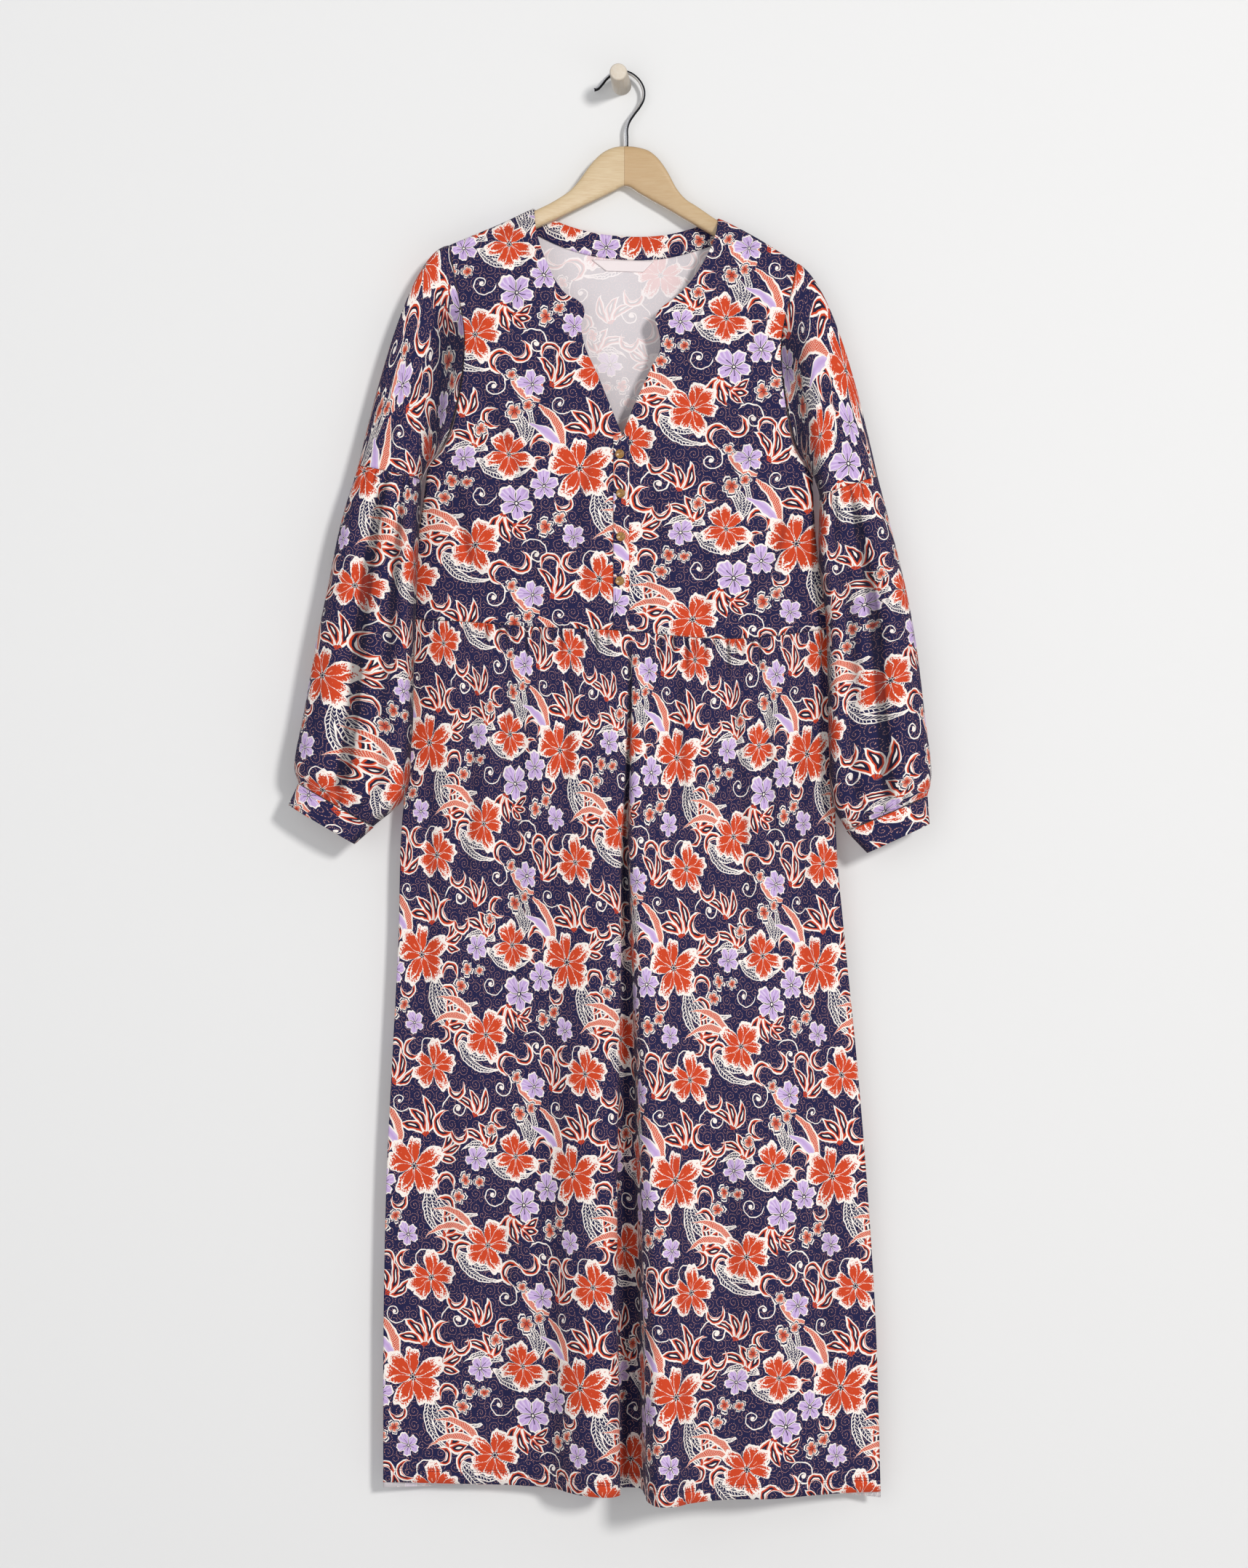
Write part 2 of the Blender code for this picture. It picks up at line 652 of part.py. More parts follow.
def ring(u, row, strength, gathers=0, deep=0.0):
    """A sleeve's section: column 0 at the inner edge, then the front, the outer edge and the back."""
    angle = 2 * np.pi * u
    across = -np.sign(np.cos(angle)) * np.abs(np.cos(angle)) ** SLEEVE_SQUARENESS
    forward = np.sign(np.sin(angle)) * np.abs(np.sin(angle)) ** SLEEVE_SQUARENESS
    left = np.array([row.inner_x, -row.inner_drop])
    right = np.array([row.outer_x, -row.outer_drop])
    swell = 1 + deep * np.cos(gathers * angle)
    place = mix(left, right, ((across * swell + 1) / 2)[:, None])
    front = folded(across, SLEEVE_FOLDS_FRONT, strength)
    back = folded(across, SLEEVE_FOLDS_BACK, strength)
    depth = row.middle - row.half * forward * swell * np.where(forward > 0, front, back)
    return np.stack([place[:, 0], depth, place[:, 1]], axis=-1)


def lower_sleeve(table):
    """The gathered lower tier, from the tier seam to the cuff."""
    def surface(u, v):
        row = sleeve_row(table, v)
        nearest = min(v, 1 - v)
        swell = nearest / SLEEVE_GATHER_PEAK * math.exp(1 - nearest / SLEEVE_GATHER_PEAK)
        gathers = TIER_GATHERS if v < 0.5 else CUFF_GATHERS
        points = ring(u, row, smooth(nearest / FOLD_START), gathers, SLEEVE_GATHER_DEEP * swell)
        points[:, 2] -= SEAM_GAP * (1 - v)
        return points
    return surface


def armhole_ring(u, path, side):
    """The armhole seam as a ring that matches a sleeve's columns."""
    share = np.abs(2 * u - 1)
    flat = along(path, share)
    gap = mix(SLEEVE_GAP, UNDERARM_GAP, smooth((share - GAP_GROWS) / (1 - GAP_GROWS)))
    y = np.where(u < 0.5, front_depth(flat[:, 0], flat[:, 1]), back_depth(flat[:, 0], flat[:, 1]))
    y = np.where(share < 1e-6, hanger_depth(flat[:, 0]), y)
    y = mix(y, body("seam", flat[:, 1]), smooth((share - UNDERARM_CLOSES) / (1 - UNDERARM_CLOSES)))
    return np.stack([flat[:, 0] + side * gap, y, -flat[:, 1]], axis=-1)


def upper_sleeve(table, path, head, side):
    """The cap piece, from the armhole to the tier seam."""
    def surface(u, v):
        start = armhole_ring(u, path, side)
        end = ring(u + CAP_TURN * np.sin(2 * np.pi * u), sleeve_row(table, 0.0), 0.0)
        crown = np.sin(np.pi * u) ** 2
        bulge = np.stack([head.x * crown, -HEAD_FORWARD * np.sin(2 * np.pi * u), -head.drop * crown], axis=-1)
        middle = (start + end) / 2 + bulge
        return start * (1 - v) ** 2 + 2 * middle * v * (1 - v) + end * v * v
    return surface


def cuff(table, end_row):
    """A cuff band."""
    def surface(u, v):
        start = sleeve_row(table, 1.0)
        row = SleeveRow(*(mix(a, b, v) for a, b in zip(start, end_row)))
        points = ring(u, row, 0.0)
        points[:, 2] -= CUFF_GAP * (1 - v)
        return points
    return surface


def flat_grid(columns, rows, finer_below=None, finer_above=None, cuts=0):
    """A grid over the unit square at the given stops, finer across near its top or bottom rows."""
    grid = bmesh.new()
    bmesh.ops.create_grid(grid, x_segments=len(columns) - 1, y_segments=len(rows) - 1, size=0.5)
    even_u = np.linspace(0, 1, len(columns))
    even_v = np.linspace(0, 1, len(rows))
    for vertex in grid.verts:
        u = float(np.interp(vertex.co.x + 0.5, even_u, columns))
        v = float(np.interp(vertex.co.y + 0.5, even_v, rows))
        vertex.co = (u, v, 0)
    if cuts:
        across = []
        for edge in grid.edges:
            first, second = edge.verts
            level = first.co.y
            if abs(level - second.co.y) > 1e-6:
                continue
            if finer_below is not None and level < finer_below:
                across.append(edge)
            elif finer_above is not None and level > finer_above:
                across.append(edge)
        bmesh.ops.subdivide_edges(grid, edges=across, cuts=cuts, use_grid_fill=True)
    return grid


def place(grid, surface):
    """Move a flat grid's points onto a surface, a row at a time."""
    rows = {}
    for vertex in grid.verts:
        rows.setdefault(round(vertex.co.y, 5), []).append(vertex)
    for v, vertices in rows.items():
        u = np.array([vertex.co.x for vertex in vertices])
        order = np.argsort(u)
        padded = np.concatenate(([0.0], u[order], [1.0]))
        for index, point in zip(order, surface(padded, v)[1:-1]):
            vertices[index].co = point * MM
    bmesh.ops.remove_doubles(grid, verts=grid.verts, dist=1e-6)


def material(name, finish, metallic=0.0):
    """A plain Principled material."""
    made = bpy.data.materials.new(name)
    made.use_nodes = True
    shader = made.node_tree.nodes["Principled BSDF"]
    shader.inputs["Base Color"].default_value = finish[0]
    shader.inputs["Roughness"].default_value = finish[1]
    shader.inputs["Metallic"].default_value = metallic
    return made


def add_object(name, mesh, collection, finish):
    """Link a mesh as a named object."""
    piece = bpy.data.objects.new(name, mesh)
    mesh.materials.clear()
    mesh.materials.append(finish)
    collection.objects.link(piece)
    return piece


def cloth_piece(name, grid, surface, wall, collection, finish):
    """A cloth panel: the grid on its surface, with the wall's thickness."""
    place(grid, surface)
    mesh = bpy.data.meshes.new(name)
    grid.to_mesh(mesh)
    grid.free()
    mesh.shade_smooth()
    piece = add_object(name, mesh, collection, finish)
    solid = piece.modifiers.new("wall", "SOLIDIFY")
    solid.thickness = wall * MM
    solid.offset = 0.0
    return piece


def even(count):
    """Even stops from 0 to 1."""
    return [index / count for index in range(count + 1)]


def crowded(count, amount):
    """Stops that stand closer together in the middle."""
    return [t + amount * math.sin(2 * math.pi * t) / (2 * math.pi) for t in even(count)]


def armhole_columns():
    """Columns of the cap piece, which meet the bodice's rows up the front and down the back."""
    front = [(1 - stop / BREAK) / 2 for stop in reversed(BODICE_ROWS) if stop <= BREAK]
    back = [(1 + stop / BREAK) / 2 for stop in BACK_ROWS if 0 < stop <= BREAK]
    return front + back


def make_peg(collection, finish):
    """The round wall peg, whose back face lies on the wall."""
    rod = bmesh.new()
    bmesh.ops.create_cone(rod, cap_ends=True, segments=28, radius1=PEG_WALL_RADIUS * MM,
                          radius2=PEG_END_RADIUS * MM, depth=PEG_LENGTH * MM)
    for vertex in rod.verts:
        out = vertex.co.z / MM + PEG_LENGTH / 2
        lean = PEG_LEAN * out / PEG_LENGTH
        vertex.co = (vertex.co.x + lean * MM, -out * MM, vertex.co.y)
    bmesh.ops.recalc_face_normals(rod, faces=rod.faces)
    mesh = bpy.data.meshes.new("wall_peg")
    rod.to_mesh(mesh)
    rod.free()
    mesh.shade_smooth()
    mesh.set_sharp_from_angle(angle=math.radians(40))
    return add_object("wall_peg", mesh, collection, finish)


def make_hook(collection, finish):
    """The bent wire hook, which rests on the peg and ends on the hanger's top."""
    path = bpy.data.curves.new("hanger_hook", "CURVE")
    path.dimensions = "3D"
    path.bevel_depth = HOOK_WIRE * MM
    path.bevel_resolution = 2
    path.use_fill_caps = True
    spline = path.splines.new("POLY")
    spline.points.add(HOOK_POINTS - 1)
    share = np.linspace(0, 1, HOOK_POINTS)
    for point, (x, drop) in zip(spline.points, along(HOOK, share)):
        point.co = (x * MM, HOOK_DEPTH * MM, -drop * MM, 1)
    spline.points[-1].radius = 1.0
    spline.points[-2].radius = HOOK_TIP
    spline.points[-3].radius = HOOK_TIP
    wire = bpy.data.objects.new("hook_wire", path)
    collection.objects.link(wire)
    evaluated = wire.evaluated_get(bpy.context.evaluated_depsgraph_get())
    mesh = bpy.data.meshes.new_from_object(evaluated)
    bpy.data.objects.remove(wire)
    welded = bmesh.new()
    welded.from_mesh(mesh)
    bmesh.ops.remove_doubles(welded, verts=welded.verts, dist=1e-6)
    bmesh.ops.recalc_face_normals(welded, faces=welded.faces)
    welded.to_mesh(mesh)
    welded.free()
    mesh.shade_smooth()
    return add_object("hanger_hook", mesh, collection, finish)


def hanger_surface(u, v):
    """The hanger's arms: column u round the section, row v along the table."""
    place_along = v * (len(HANGER) - 1)
    index = min(int(round(place_along)), len(HANGER) - 1)
    row = HANGER[index]
    angle = 2 * np.pi * u
    power = 2 / HANGER_ROUNDING
    up = np.sign(np.cos(angle)) * np.abs(np.cos(angle)) ** power
    out = np.sign(np.sin(angle)) * np.abs(np.sin(angle)) ** power
    height = (row.bottom - row.top) / 2
    half = min(HANGER_HALF, height * HANGER_TIP_SHARE)
    x = np.full_like(u, row.x)
    return np.stack([x, hanger_depth(x) + half * out, -(row.top + height) + height * up], axis=-1)


def make_hanger(collection, finish):
    """The wooden hanger body, one bar of rounded sections."""
    bar = flat_grid(even(HANGER_AROUND), even(len(HANGER) - 1))
    place(bar, hanger_surface)
    ends = [edge for edge in bar.edges if edge.is_boundary]
    bmesh.ops.holes_fill(bar, edges=ends)
    bmesh.ops.recalc_face_normals(bar, faces=bar.faces)
    mesh = bpy.data.meshes.new("hanger_body")
    bar.to_mesh(mesh)
    bar.free()
    mesh.shade_smooth()
    return add_object("hanger_body", mesh, collection, finish)


def ring_spline(curve, x, z, radius, points):
    """A closed circle of straight pieces in a flat curve."""
    spline = curve.splines.new("POLY")
    spline.points.add(points - 1)
    spline.use_cyclic_u = True
    for index, point in enumerate(spline.points):
        turn = 2 * math.pi * index / points
        point.co = ((x + radius * math.cos(turn)) * MM, (z + radius * math.sin(turn)) * MM, 0, 1)


def make_button(name, centre, collection, finish):
    """A round button with four holes, flat on the placket."""
    outline = bpy.data.curves.new(name, "CURVE")
    outline.dimensions = "2D"
    outline.fill_mode = "BOTH"
    outline.extrude = BUTTON_THICK / 2 * MM
    ring_spline(outline, 0, 0, BUTTON_RADIUS, 18)
    for side_x in (-1, 1):
        for side_z in (-1, 1):
            ring_spline(outline, side_x * BUTTON_HOLE_OUT, side_z * BUTTON_HOLE_OUT, BUTTON_HOLE, 6)
    plate = bpy.data.objects.new(name + "_outline", outline)
    collection.objects.link(plate)
    evaluated = plate.evaluated_get(bpy.context.evaluated_depsgraph_get())
    mesh = bpy.data.meshes.new_from_object(evaluated)
    bpy.data.objects.remove(plate)
    surface = float(front_depth(np.array([centre.x], float), np.array([centre.drop], float))[0])
    depth = surface - CLOTH / 2 - TRIM - 2 * LAYER_GAP - BUTTON_THICK / 2
    welded = bmesh.new()
    welded.from_mesh(mesh)
    bmesh.ops.remove_doubles(welded, verts=welded.verts, dist=1e-6)
    for vertex in welded.verts:
        x, z, out = vertex.co
        vertex.co = (x + centre.x * MM, depth * MM - out, z - centre.drop * MM)
    bmesh.ops.recalc_face_normals(welded, faces=welded.faces)
    welded.to_mesh(mesh)
    welded.free()
    return add_object(name, mesh, collection, finish)


def make_bodice(collection, finish):
    """Both fronts and the back."""
    columns = even(BODICE_COLUMNS)
    cloth_piece("front_bodice_left", flat_grid(columns, BODICE_ROWS), front_left, CLOTH, collection, finish)
    cloth_piece("front_bodice_right", flat_grid(columns, BODICE_ROWS), front_right, CLOTH, collection, finish)
    back_columns = sorted(set(even(BACK_COLUMNS) + list(BACK_NECK_COLUMNS)))
    cloth_piece("back_bodice", flat_grid(back_columns, BACK_ROWS), back_piece, CLOTH, collection, finish)


def make_trims(collection, jersey, label_cloth):
    """Neck band, label and placket, which lie on the panels."""
    cloth_piece("back_neck_band", flat_grid(even(16), even(2)), neck_band, TRIM, collection, jersey)
    cloth_piece("neck_label", flat_grid(even(6), even(1)), label, TRIM, collection, label_cloth)
    cloth_piece("placket", flat_grid(even(1), even(10)), placket, TRIM, collection, jersey)


def make_skirt(collection, finish):
    """Skirt front and back."""
    columns = crowded(FRONT_SKIRT_COLUMNS, FRONT_CROWDING)
    front = flat_grid(columns, SKIRT_ROWS, finer_below=0.06, cuts=2)
    cloth_piece("skirt_front", front, skirt_front, CLOTH, collection, finish)
    back = flat_grid(even(BACK_SKIRT_COLUMNS), SKIRT_ROWS, finer_below=0.06, cuts=2)
    cloth_piece("skirt_back", back, skirt_back, CLOTH, collection, finish)


def make_sleeve(name, table, path, head, end_row, side, collection, finish):
    """One sleeve: cap piece, gathered lower tier and cuff."""
    cap = flat_grid(armhole_columns(), UPPER_SLEEVE_ROWS)
    cloth_piece("sleeve_upper_" + name, cap, upper_sleeve(table, path, head, side), CLOTH, collection, finish)
    tier = flat_grid(even(SLEEVE_COLUMNS), LOWER_SLEEVE_ROWS, finer_below=0.1, finer_above=0.95, cuts=1)
    cloth_piece("sleeve_lower_" + name, tier, lower_sleeve(table), CLOTH, collection, finish)
    band = flat_grid(even(SLEEVE_COLUMNS), even(2))
    cloth_piece("cuff_" + name, band, cuff(table, end_row), CUFF_WALL, collection, finish)


def main():
    """Build the dress, the hanger and the peg."""
    for old in list(bpy.data.objects):
        bpy.data.objects.remove(old)
    collection = bpy.data.collections.new("midi_dress")
    bpy.context.scene.collection.children.link(collection)
    jersey = material("printed_jersey", JERSEY)
    make_peg(collection, material("pale_peg_wood", PALE_WOOD))
    make_hook(collection, material("chromed_wire", CHROME, metallic=1.0))
    make_hanger(collection, material("varnished_beech", BEECH))
    make_bodice(collection, jersey)
    make_trims(collection, jersey, material("label_satin", LABEL_CLOTH))
    horn = material("brown_horn", HORN)
    for number, centre in enumerate(BUTTONS, start=1):
        make_button("button_" + str(number), centre, collection, horn)
    make_skirt(collection, jersey)
    make_sleeve("left", SLEEVE_LEFT, ARMHOLE_LEFT, SLEEVE_HEAD_LEFT, CUFF_END_LEFT, -1, collection, jersey)
    make_sleeve("right", SLEEVE_RIGHT, ARMHOLE_RIGHT, SLEEVE_HEAD_RIGHT, CUFF_END_RIGHT, 1,
                collection, jersey)


main()
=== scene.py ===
"""Looks of the midi dress on its hanger and wall peg.

The tables and the surface functions are in millimetres, in the frame of the CAD: X to the
right of someone who faces the dress, Y into the wall, Z up, and a drop is a distance below
the origin. The shells are finer cuts of the surfaces that the solids were made from.
"""

import math
from collections import namedtuple

import bmesh
import bpy
import numpy as np
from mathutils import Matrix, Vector


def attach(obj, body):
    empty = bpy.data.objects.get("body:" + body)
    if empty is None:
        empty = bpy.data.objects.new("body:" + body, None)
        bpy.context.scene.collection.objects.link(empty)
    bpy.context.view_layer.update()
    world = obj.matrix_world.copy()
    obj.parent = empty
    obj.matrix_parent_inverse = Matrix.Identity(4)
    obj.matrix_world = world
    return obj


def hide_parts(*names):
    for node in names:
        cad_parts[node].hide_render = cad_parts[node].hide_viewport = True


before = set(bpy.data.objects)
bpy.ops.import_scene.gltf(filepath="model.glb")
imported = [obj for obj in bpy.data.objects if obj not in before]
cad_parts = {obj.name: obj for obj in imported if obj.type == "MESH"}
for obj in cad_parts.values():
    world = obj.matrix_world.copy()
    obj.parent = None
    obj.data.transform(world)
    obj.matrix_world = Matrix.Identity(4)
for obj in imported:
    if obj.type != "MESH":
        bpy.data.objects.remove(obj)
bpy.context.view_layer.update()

MM = 0.001

# Walls and gaps
CLOTH = 1.5                # wall of the printed jersey
TRIM = 1.2                 # wall of the neck band, the placket and the label
CUFF_WALL = 2.0            # two layers of jersey
LAYER_GAP = 0.3            # between a piece and the panel that it lies on
BAND_GAP = 0.9             # under the neck band, where the back's cloth curves
SEAM_GAP = 0.4             # between two pieces that meet edge to edge
SEAM_HALF = 0.9            # from a side or shoulder seam to the middle of each wall
SEAT_GAP = 1.25            # from the shoulder's ridge down to the hanger's upper edge
CUFF_GAP = 1.3             # where a sleeve bends into its cuff
SLEEVE_GAP = 0.8           # from an armhole's edge to its sleeve, at the shoulder
UNDERARM_GAP = 4.2         # the same where the two walls hang side by side
GAP_GROWS = 0.40           # share of the armhole, from the shoulder, at which the gap starts to grow
UNDERARM_CLOSES = 0.7      # share at which the sleeve's front and back turn to meet

# Peg and hook
PEG_LENGTH = 60.0
PEG_WALL_RADIUS = 9.8
PEG_END_RADIUS = 8.8
PEG_LEAN = -3.6            # how far the near end stands to the left
HOOK_DEPTH = -10.0
HOOK_WIRE = 1.9
HOOK_TIP = 1.35            # thickness of the hook's tip against its wire
HOOK_POINTS = 30

# Hanger body
HANGER_MIDDLE_X = 5.0
HANGER_MIDDLE_Y = -11.0
HANGER_SWEEP = 22.0        # how far the arms' ends come forward
HANGER_REACH = 200.0
HANGER_SWEEP_POWER = 1.6
HANGER_HALF = 6.5
HANGER_TIP_SHARE = 0.75    # half thickness against half height, where the arms' ends run out
HANGER_ROUNDING = 2.5      # power of the section's rounded oblong
HANGER_AROUND = 10

# Bodice
SIDE_POWER = 6             # how flat the body's section is before it turns to the side seam
BREAK = 0.57               # share of a bodice edge above the underarm and the foot of the V
CENTRE_X = 0.5
WAIST_MIDDLE = 562.0
HEM_MIDDLE = 1440.0
HEM_TILT = 10.0            # how much lower the hem is at the right side
BACK_HEM_DROP = 6.0        # how much lower the back hem is, so that it shows under the front
DRAPE_NEAR_NECK = 42.0
DRAPE_AT_TIP = 20.0
BACK_DRAPE = 14.0
NECK_PUSH = 7.0            # the hanger's middle pushes the back cloth towards the wall
BAND_TALL = 24.0
BAND_TOP = 0.10            # share of the back neck at which the band's upper edge starts
BAND_BOTTOM = 0.05         # the same of its lower edge
PLACKET_LEFT = -8.5
PLACKET_RIGHT = 7.5
PLACKET_TOP = 367.5

# Buttons
BUTTON_RADIUS = 4.7
BUTTON_THICK = 2.2
BUTTON_HOLE = 0.7
BUTTON_HOLE_OUT = 1.25

# Gathers
Gather = namedtuple("Gather", "at length width deep")
GatherGroup = namedtuple("GatherGroup", "start end")
BODY_WIDE = 430.0          # the waist's width, over which the skirt's gathers are placed
SLEEVE_ROUND = 150.0       # half of a sleeve's way round
SLEEVE_LEAN = 8.0          # how far a sleeve's inner edge stands forward, over the side of the body
SLEEVE_BACK_CLEAR = 0.5    # width over which its back starts to open, behind that edge
SLEEVE_SQUARENESS = 0.8    # power that turns the sleeve's oval into a rounded oblong
CUFF_DEPTH = 13.0

BodyRow = namedtuple("BodyRow", "drop left right seam front back")
BODY = (
    BodyRow(130, -200, 200, -28, -40, -12),
    BodyRow(290, -199, 196, -29, -44, -12),
    BodyRow(405, -199, 195, -28, -46, -12),
    BodyRow(485, -211, 200, -27, -46, -12),
    BodyRow(560, -215, 214, -27, -45, -12),
    BodyRow(700, -219, 217, -28, -46, -12),
    BodyRow(790, -226, 220, -28, -46, -12),
    BodyRow(879, -228, 228, -29, -46, -12),
    BodyRow(998, -234, 240, -29, -46, -12),
    BodyRow(1118, -240, 250, -30, -46, -12),
    BodyRow(1237, -243, 258, -30, -46, -12),
    BodyRow(1450, -244, 265, -30, -46, -12),
)

RidgeRow = namedtuple("RidgeRow", "x drop")
RIDGE = (
    RidgeRow(-205, 190),
    RidgeRow(-190, 178),
    RidgeRow(-176, 171),
    RidgeRow(-123, 147),
    RidgeRow(-90, 131),
    RidgeRow(99, 141),
    RidgeRow(138, 162),
    RidgeRow(179, 189),
    RidgeRow(192, 197.5),
    RidgeRow(206, 210),
)

# The least that the cloth stands out from the hanger's middle, below the ridge
WrapRow = namedtuple("WrapRow", "below out")
WRAP = (
    WrapRow(0, SEAM_HALF),
    WrapRow(1.4, 5.5),
    WrapRow(5.2, 8.3),
    WrapRow(11, 9),
    WrapRow(60, 9),
    WrapRow(170, -20),
)

EdgePoint = namedtuple("EdgePoint", "x drop")
NECK_LEFT = (
    EdgePoint(-90, 131),
    EdgePoint(-87, 158),
    EdgePoint(-75, 193),
    EdgePoint(-66, 211),
    EdgePoint(-57, 222),
    EdgePoint(-46, 228),
    EdgePoint(-39, 235),
    EdgePoint(-38, 243),
    EdgePoint(-41, 252),
    EdgePoint(-39, 270),
    EdgePoint(-24, 306),
    EdgePoint(-7, 348),
    EdgePoint(CENTRE_X - SEAM_GAP / 2, 366),
)
NECK_RIGHT = (
    EdgePoint(99, 141),
    EdgePoint(96, 159),
    EdgePoint(80, 195),
    EdgePoint(69, 211),
    EdgePoint(53, 227),
    EdgePoint(38, 239),
    EdgePoint(34, 248),
    EdgePoint(37, 258),
    EdgePoint(39, 279),
    EdgePoint(30, 297),
    EdgePoint(22, 315),
    EdgePoint(10, 342),
    EdgePoint(CENTRE_X + SEAM_GAP / 2, 366),
)
ARMHOLE_LEFT = (
    EdgePoint(-176, 171),
    EdgePoint(-170, 205),
    EdgePoint(-160, 266),
    EdgePoint(-161, 295),
    EdgePoint(-166, 330),
    EdgePoint(-180, 376),
    EdgePoint(-199, 398),
)
ARMHOLE_RIGHT = (
    EdgePoint(179, 189),
    EdgePoint(173, 217),
    EdgePoint(162, 276),
    EdgePoint(163, 303),
    EdgePoint(167, 335),
    EdgePoint(178, 383),
    EdgePoint(195, 406),
)
BACK_NECK = (
    EdgePoint(-90, 131),
    EdgePoint(-69, 141),
    EdgePoint(-34, 152),
    EdgePoint(3, 156.5),
    EdgePoint(47, 155),
    EdgePoint(77, 148),
    EdgePoint(99, 141),
)
WAIST = (
    EdgePoint(-220, 552),
    EdgePoint(-153, 556.5),
    EdgePoint(-100, 560.5),
    EdgePoint(-50, 563),
    EdgePoint(0, 565),
    EdgePoint(40, 569),
    EdgePoint(80, 572.5),
    EdgePoint(110, 573.5),
    EdgePoint(150, 571),
    EdgePoint(220, 561),
)

# The skirt's folds: where each stands across the width at the waist and at the hem, and its hem depth
FoldRow = namedtuple("FoldRow", "waist hem depth")
FRONT_FOLDS = (
    FoldRow(0.000, 0.000, -30),
    FoldRow(0.130, 0.136, -32),
    FoldRow(0.260, 0.273, -34),
    FoldRow(0.360, 0.342, -42),
    FoldRow(0.430, 0.381, -64),
    FoldRow(0.475, 0.418, -76),
    FoldRow(0.505, 0.460, -77),
    FoldRow(0.513, 0.474, -69),
    FoldRow(0.515, 0.473, -44),
    FoldRow(0.518, 0.486, -33),
    FoldRow(0.521, 0.511, -34),
    FoldRow(0.523, 0.526, -62),
    FoldRow(0.526, 0.535, -98),
    FoldRow(0.532, 0.553, -113),
    FoldRow(0.550, 0.582, -111),
    FoldRow(0.585, 0.610, -97),
    FoldRow(0.660, 0.684, -77),
    FoldRow(0.760, 0.780, -70),
    FoldRow(0.860, 0.874, -49),
    FoldRow(0.940, 0.941, -37),
    FoldRow(1.000, 1.000, -30),
)
BACK_FOLDS = (
    FoldRow(0.00, 0.00, -30),
    FoldRow(0.11, 0.12, -16),
    FoldRow(0.24, 0.25, -10),
    FoldRow(0.36, 0.35, -21),
    FoldRow(0.46, 0.46, -11),
    FoldRow(0.59, 0.60, -9),
    FoldRow(0.70, 0.70, -20),
    FoldRow(0.83, 0.83, -10),
    FoldRow(0.92, 0.91, -14),
    FoldRow(1.00, 1.00, -30),
)
SLEEVE_GROUPS = (GatherGroup(0.04, 0.46), GatherGroup(0.54, 0.96))
FRONT_GROUPS = (GatherGroup(0.13, 0.485), GatherGroup(0.57, 0.85))
BACK_GROUPS = (GatherGroup(0.14, 0.46), GatherGroup(0.54, 0.86))

# Sleeves, from the tier seam down: both edges of the flattened tube, its middle and half depth
SleeveRow = namedtuple("SleeveRow", "along outer_x outer_drop inner_x inner_drop middle half")
SLEEVE_LEFT = (
    SleeveRow(0.00, -269, 397, -204, 412, -31, 24),
    SleeveRow(0.16, -285, 450, -207, 470, -33, 26),
    SleeveRow(0.37, -300, 523, -210, 545, -35, 28),
    SleeveRow(0.56, -312, 582, -212, 612, -36, 29),
    SleeveRow(0.74, -322, 641, -214, 678, -38, 30),
    SleeveRow(0.91, -333, 704, -225, 740, -39, 27),
    SleeveRow(1.00, -329, 720, -253, 764, -40, 14),
)
SLEEVE_RIGHT = (
    SleeveRow(0.00, 261, 408, 202, 428, -31, 24),
    SleeveRow(0.16, 276, 466, 201, 488, -33, 26),
    SleeveRow(0.37, 291, 530, 208, 553, -35, 28),
    SleeveRow(0.56, 301, 588, 210, 617, -36, 29),
    SleeveRow(0.74, 308, 648, 211, 681, -38, 30),
    SleeveRow(0.91, 315, 714, 216, 745, -39, 27),
    SleeveRow(1.00, 311, 733, 229, 768, -40, 14),
)
CUFF_END_LEFT = SleeveRow(1.0, -339, 743, -272, 782, -40, CUFF_DEPTH)
CUFF_END_RIGHT = SleeveRow(1.0, 313, 762, 250, 791, -40, CUFF_DEPTH)
SLEEVE_HEAD_LEFT = EdgePoint(4.5, -110)     # how the head of the sleeve bulges past a straight line
SLEEVE_HEAD_RIGHT = EdgePoint(-1.0, -88)
HEAD_FORWARD = 6.0
CAP_TURN = 0.08            # how far the cap's columns spread from the underarm on their way down

# Long soft folds down a sleeve: where across it, how wide, how deep against the half depth
SleeveFold = namedtuple("SleeveFold", "across width deep")
SLEEVE_FOLDS_FRONT = (SleeveFold(0.10, 0.20, 0.40), SleeveFold(-0.55, 0.18, 0.25))
SLEEVE_FOLDS_BACK = (SleeveFold(-0.10, 0.25, 0.35), SleeveFold(0.50, 0.20, 0.20))
FOLD_START = 0.13          # share of the tier from either end at which the folds are full

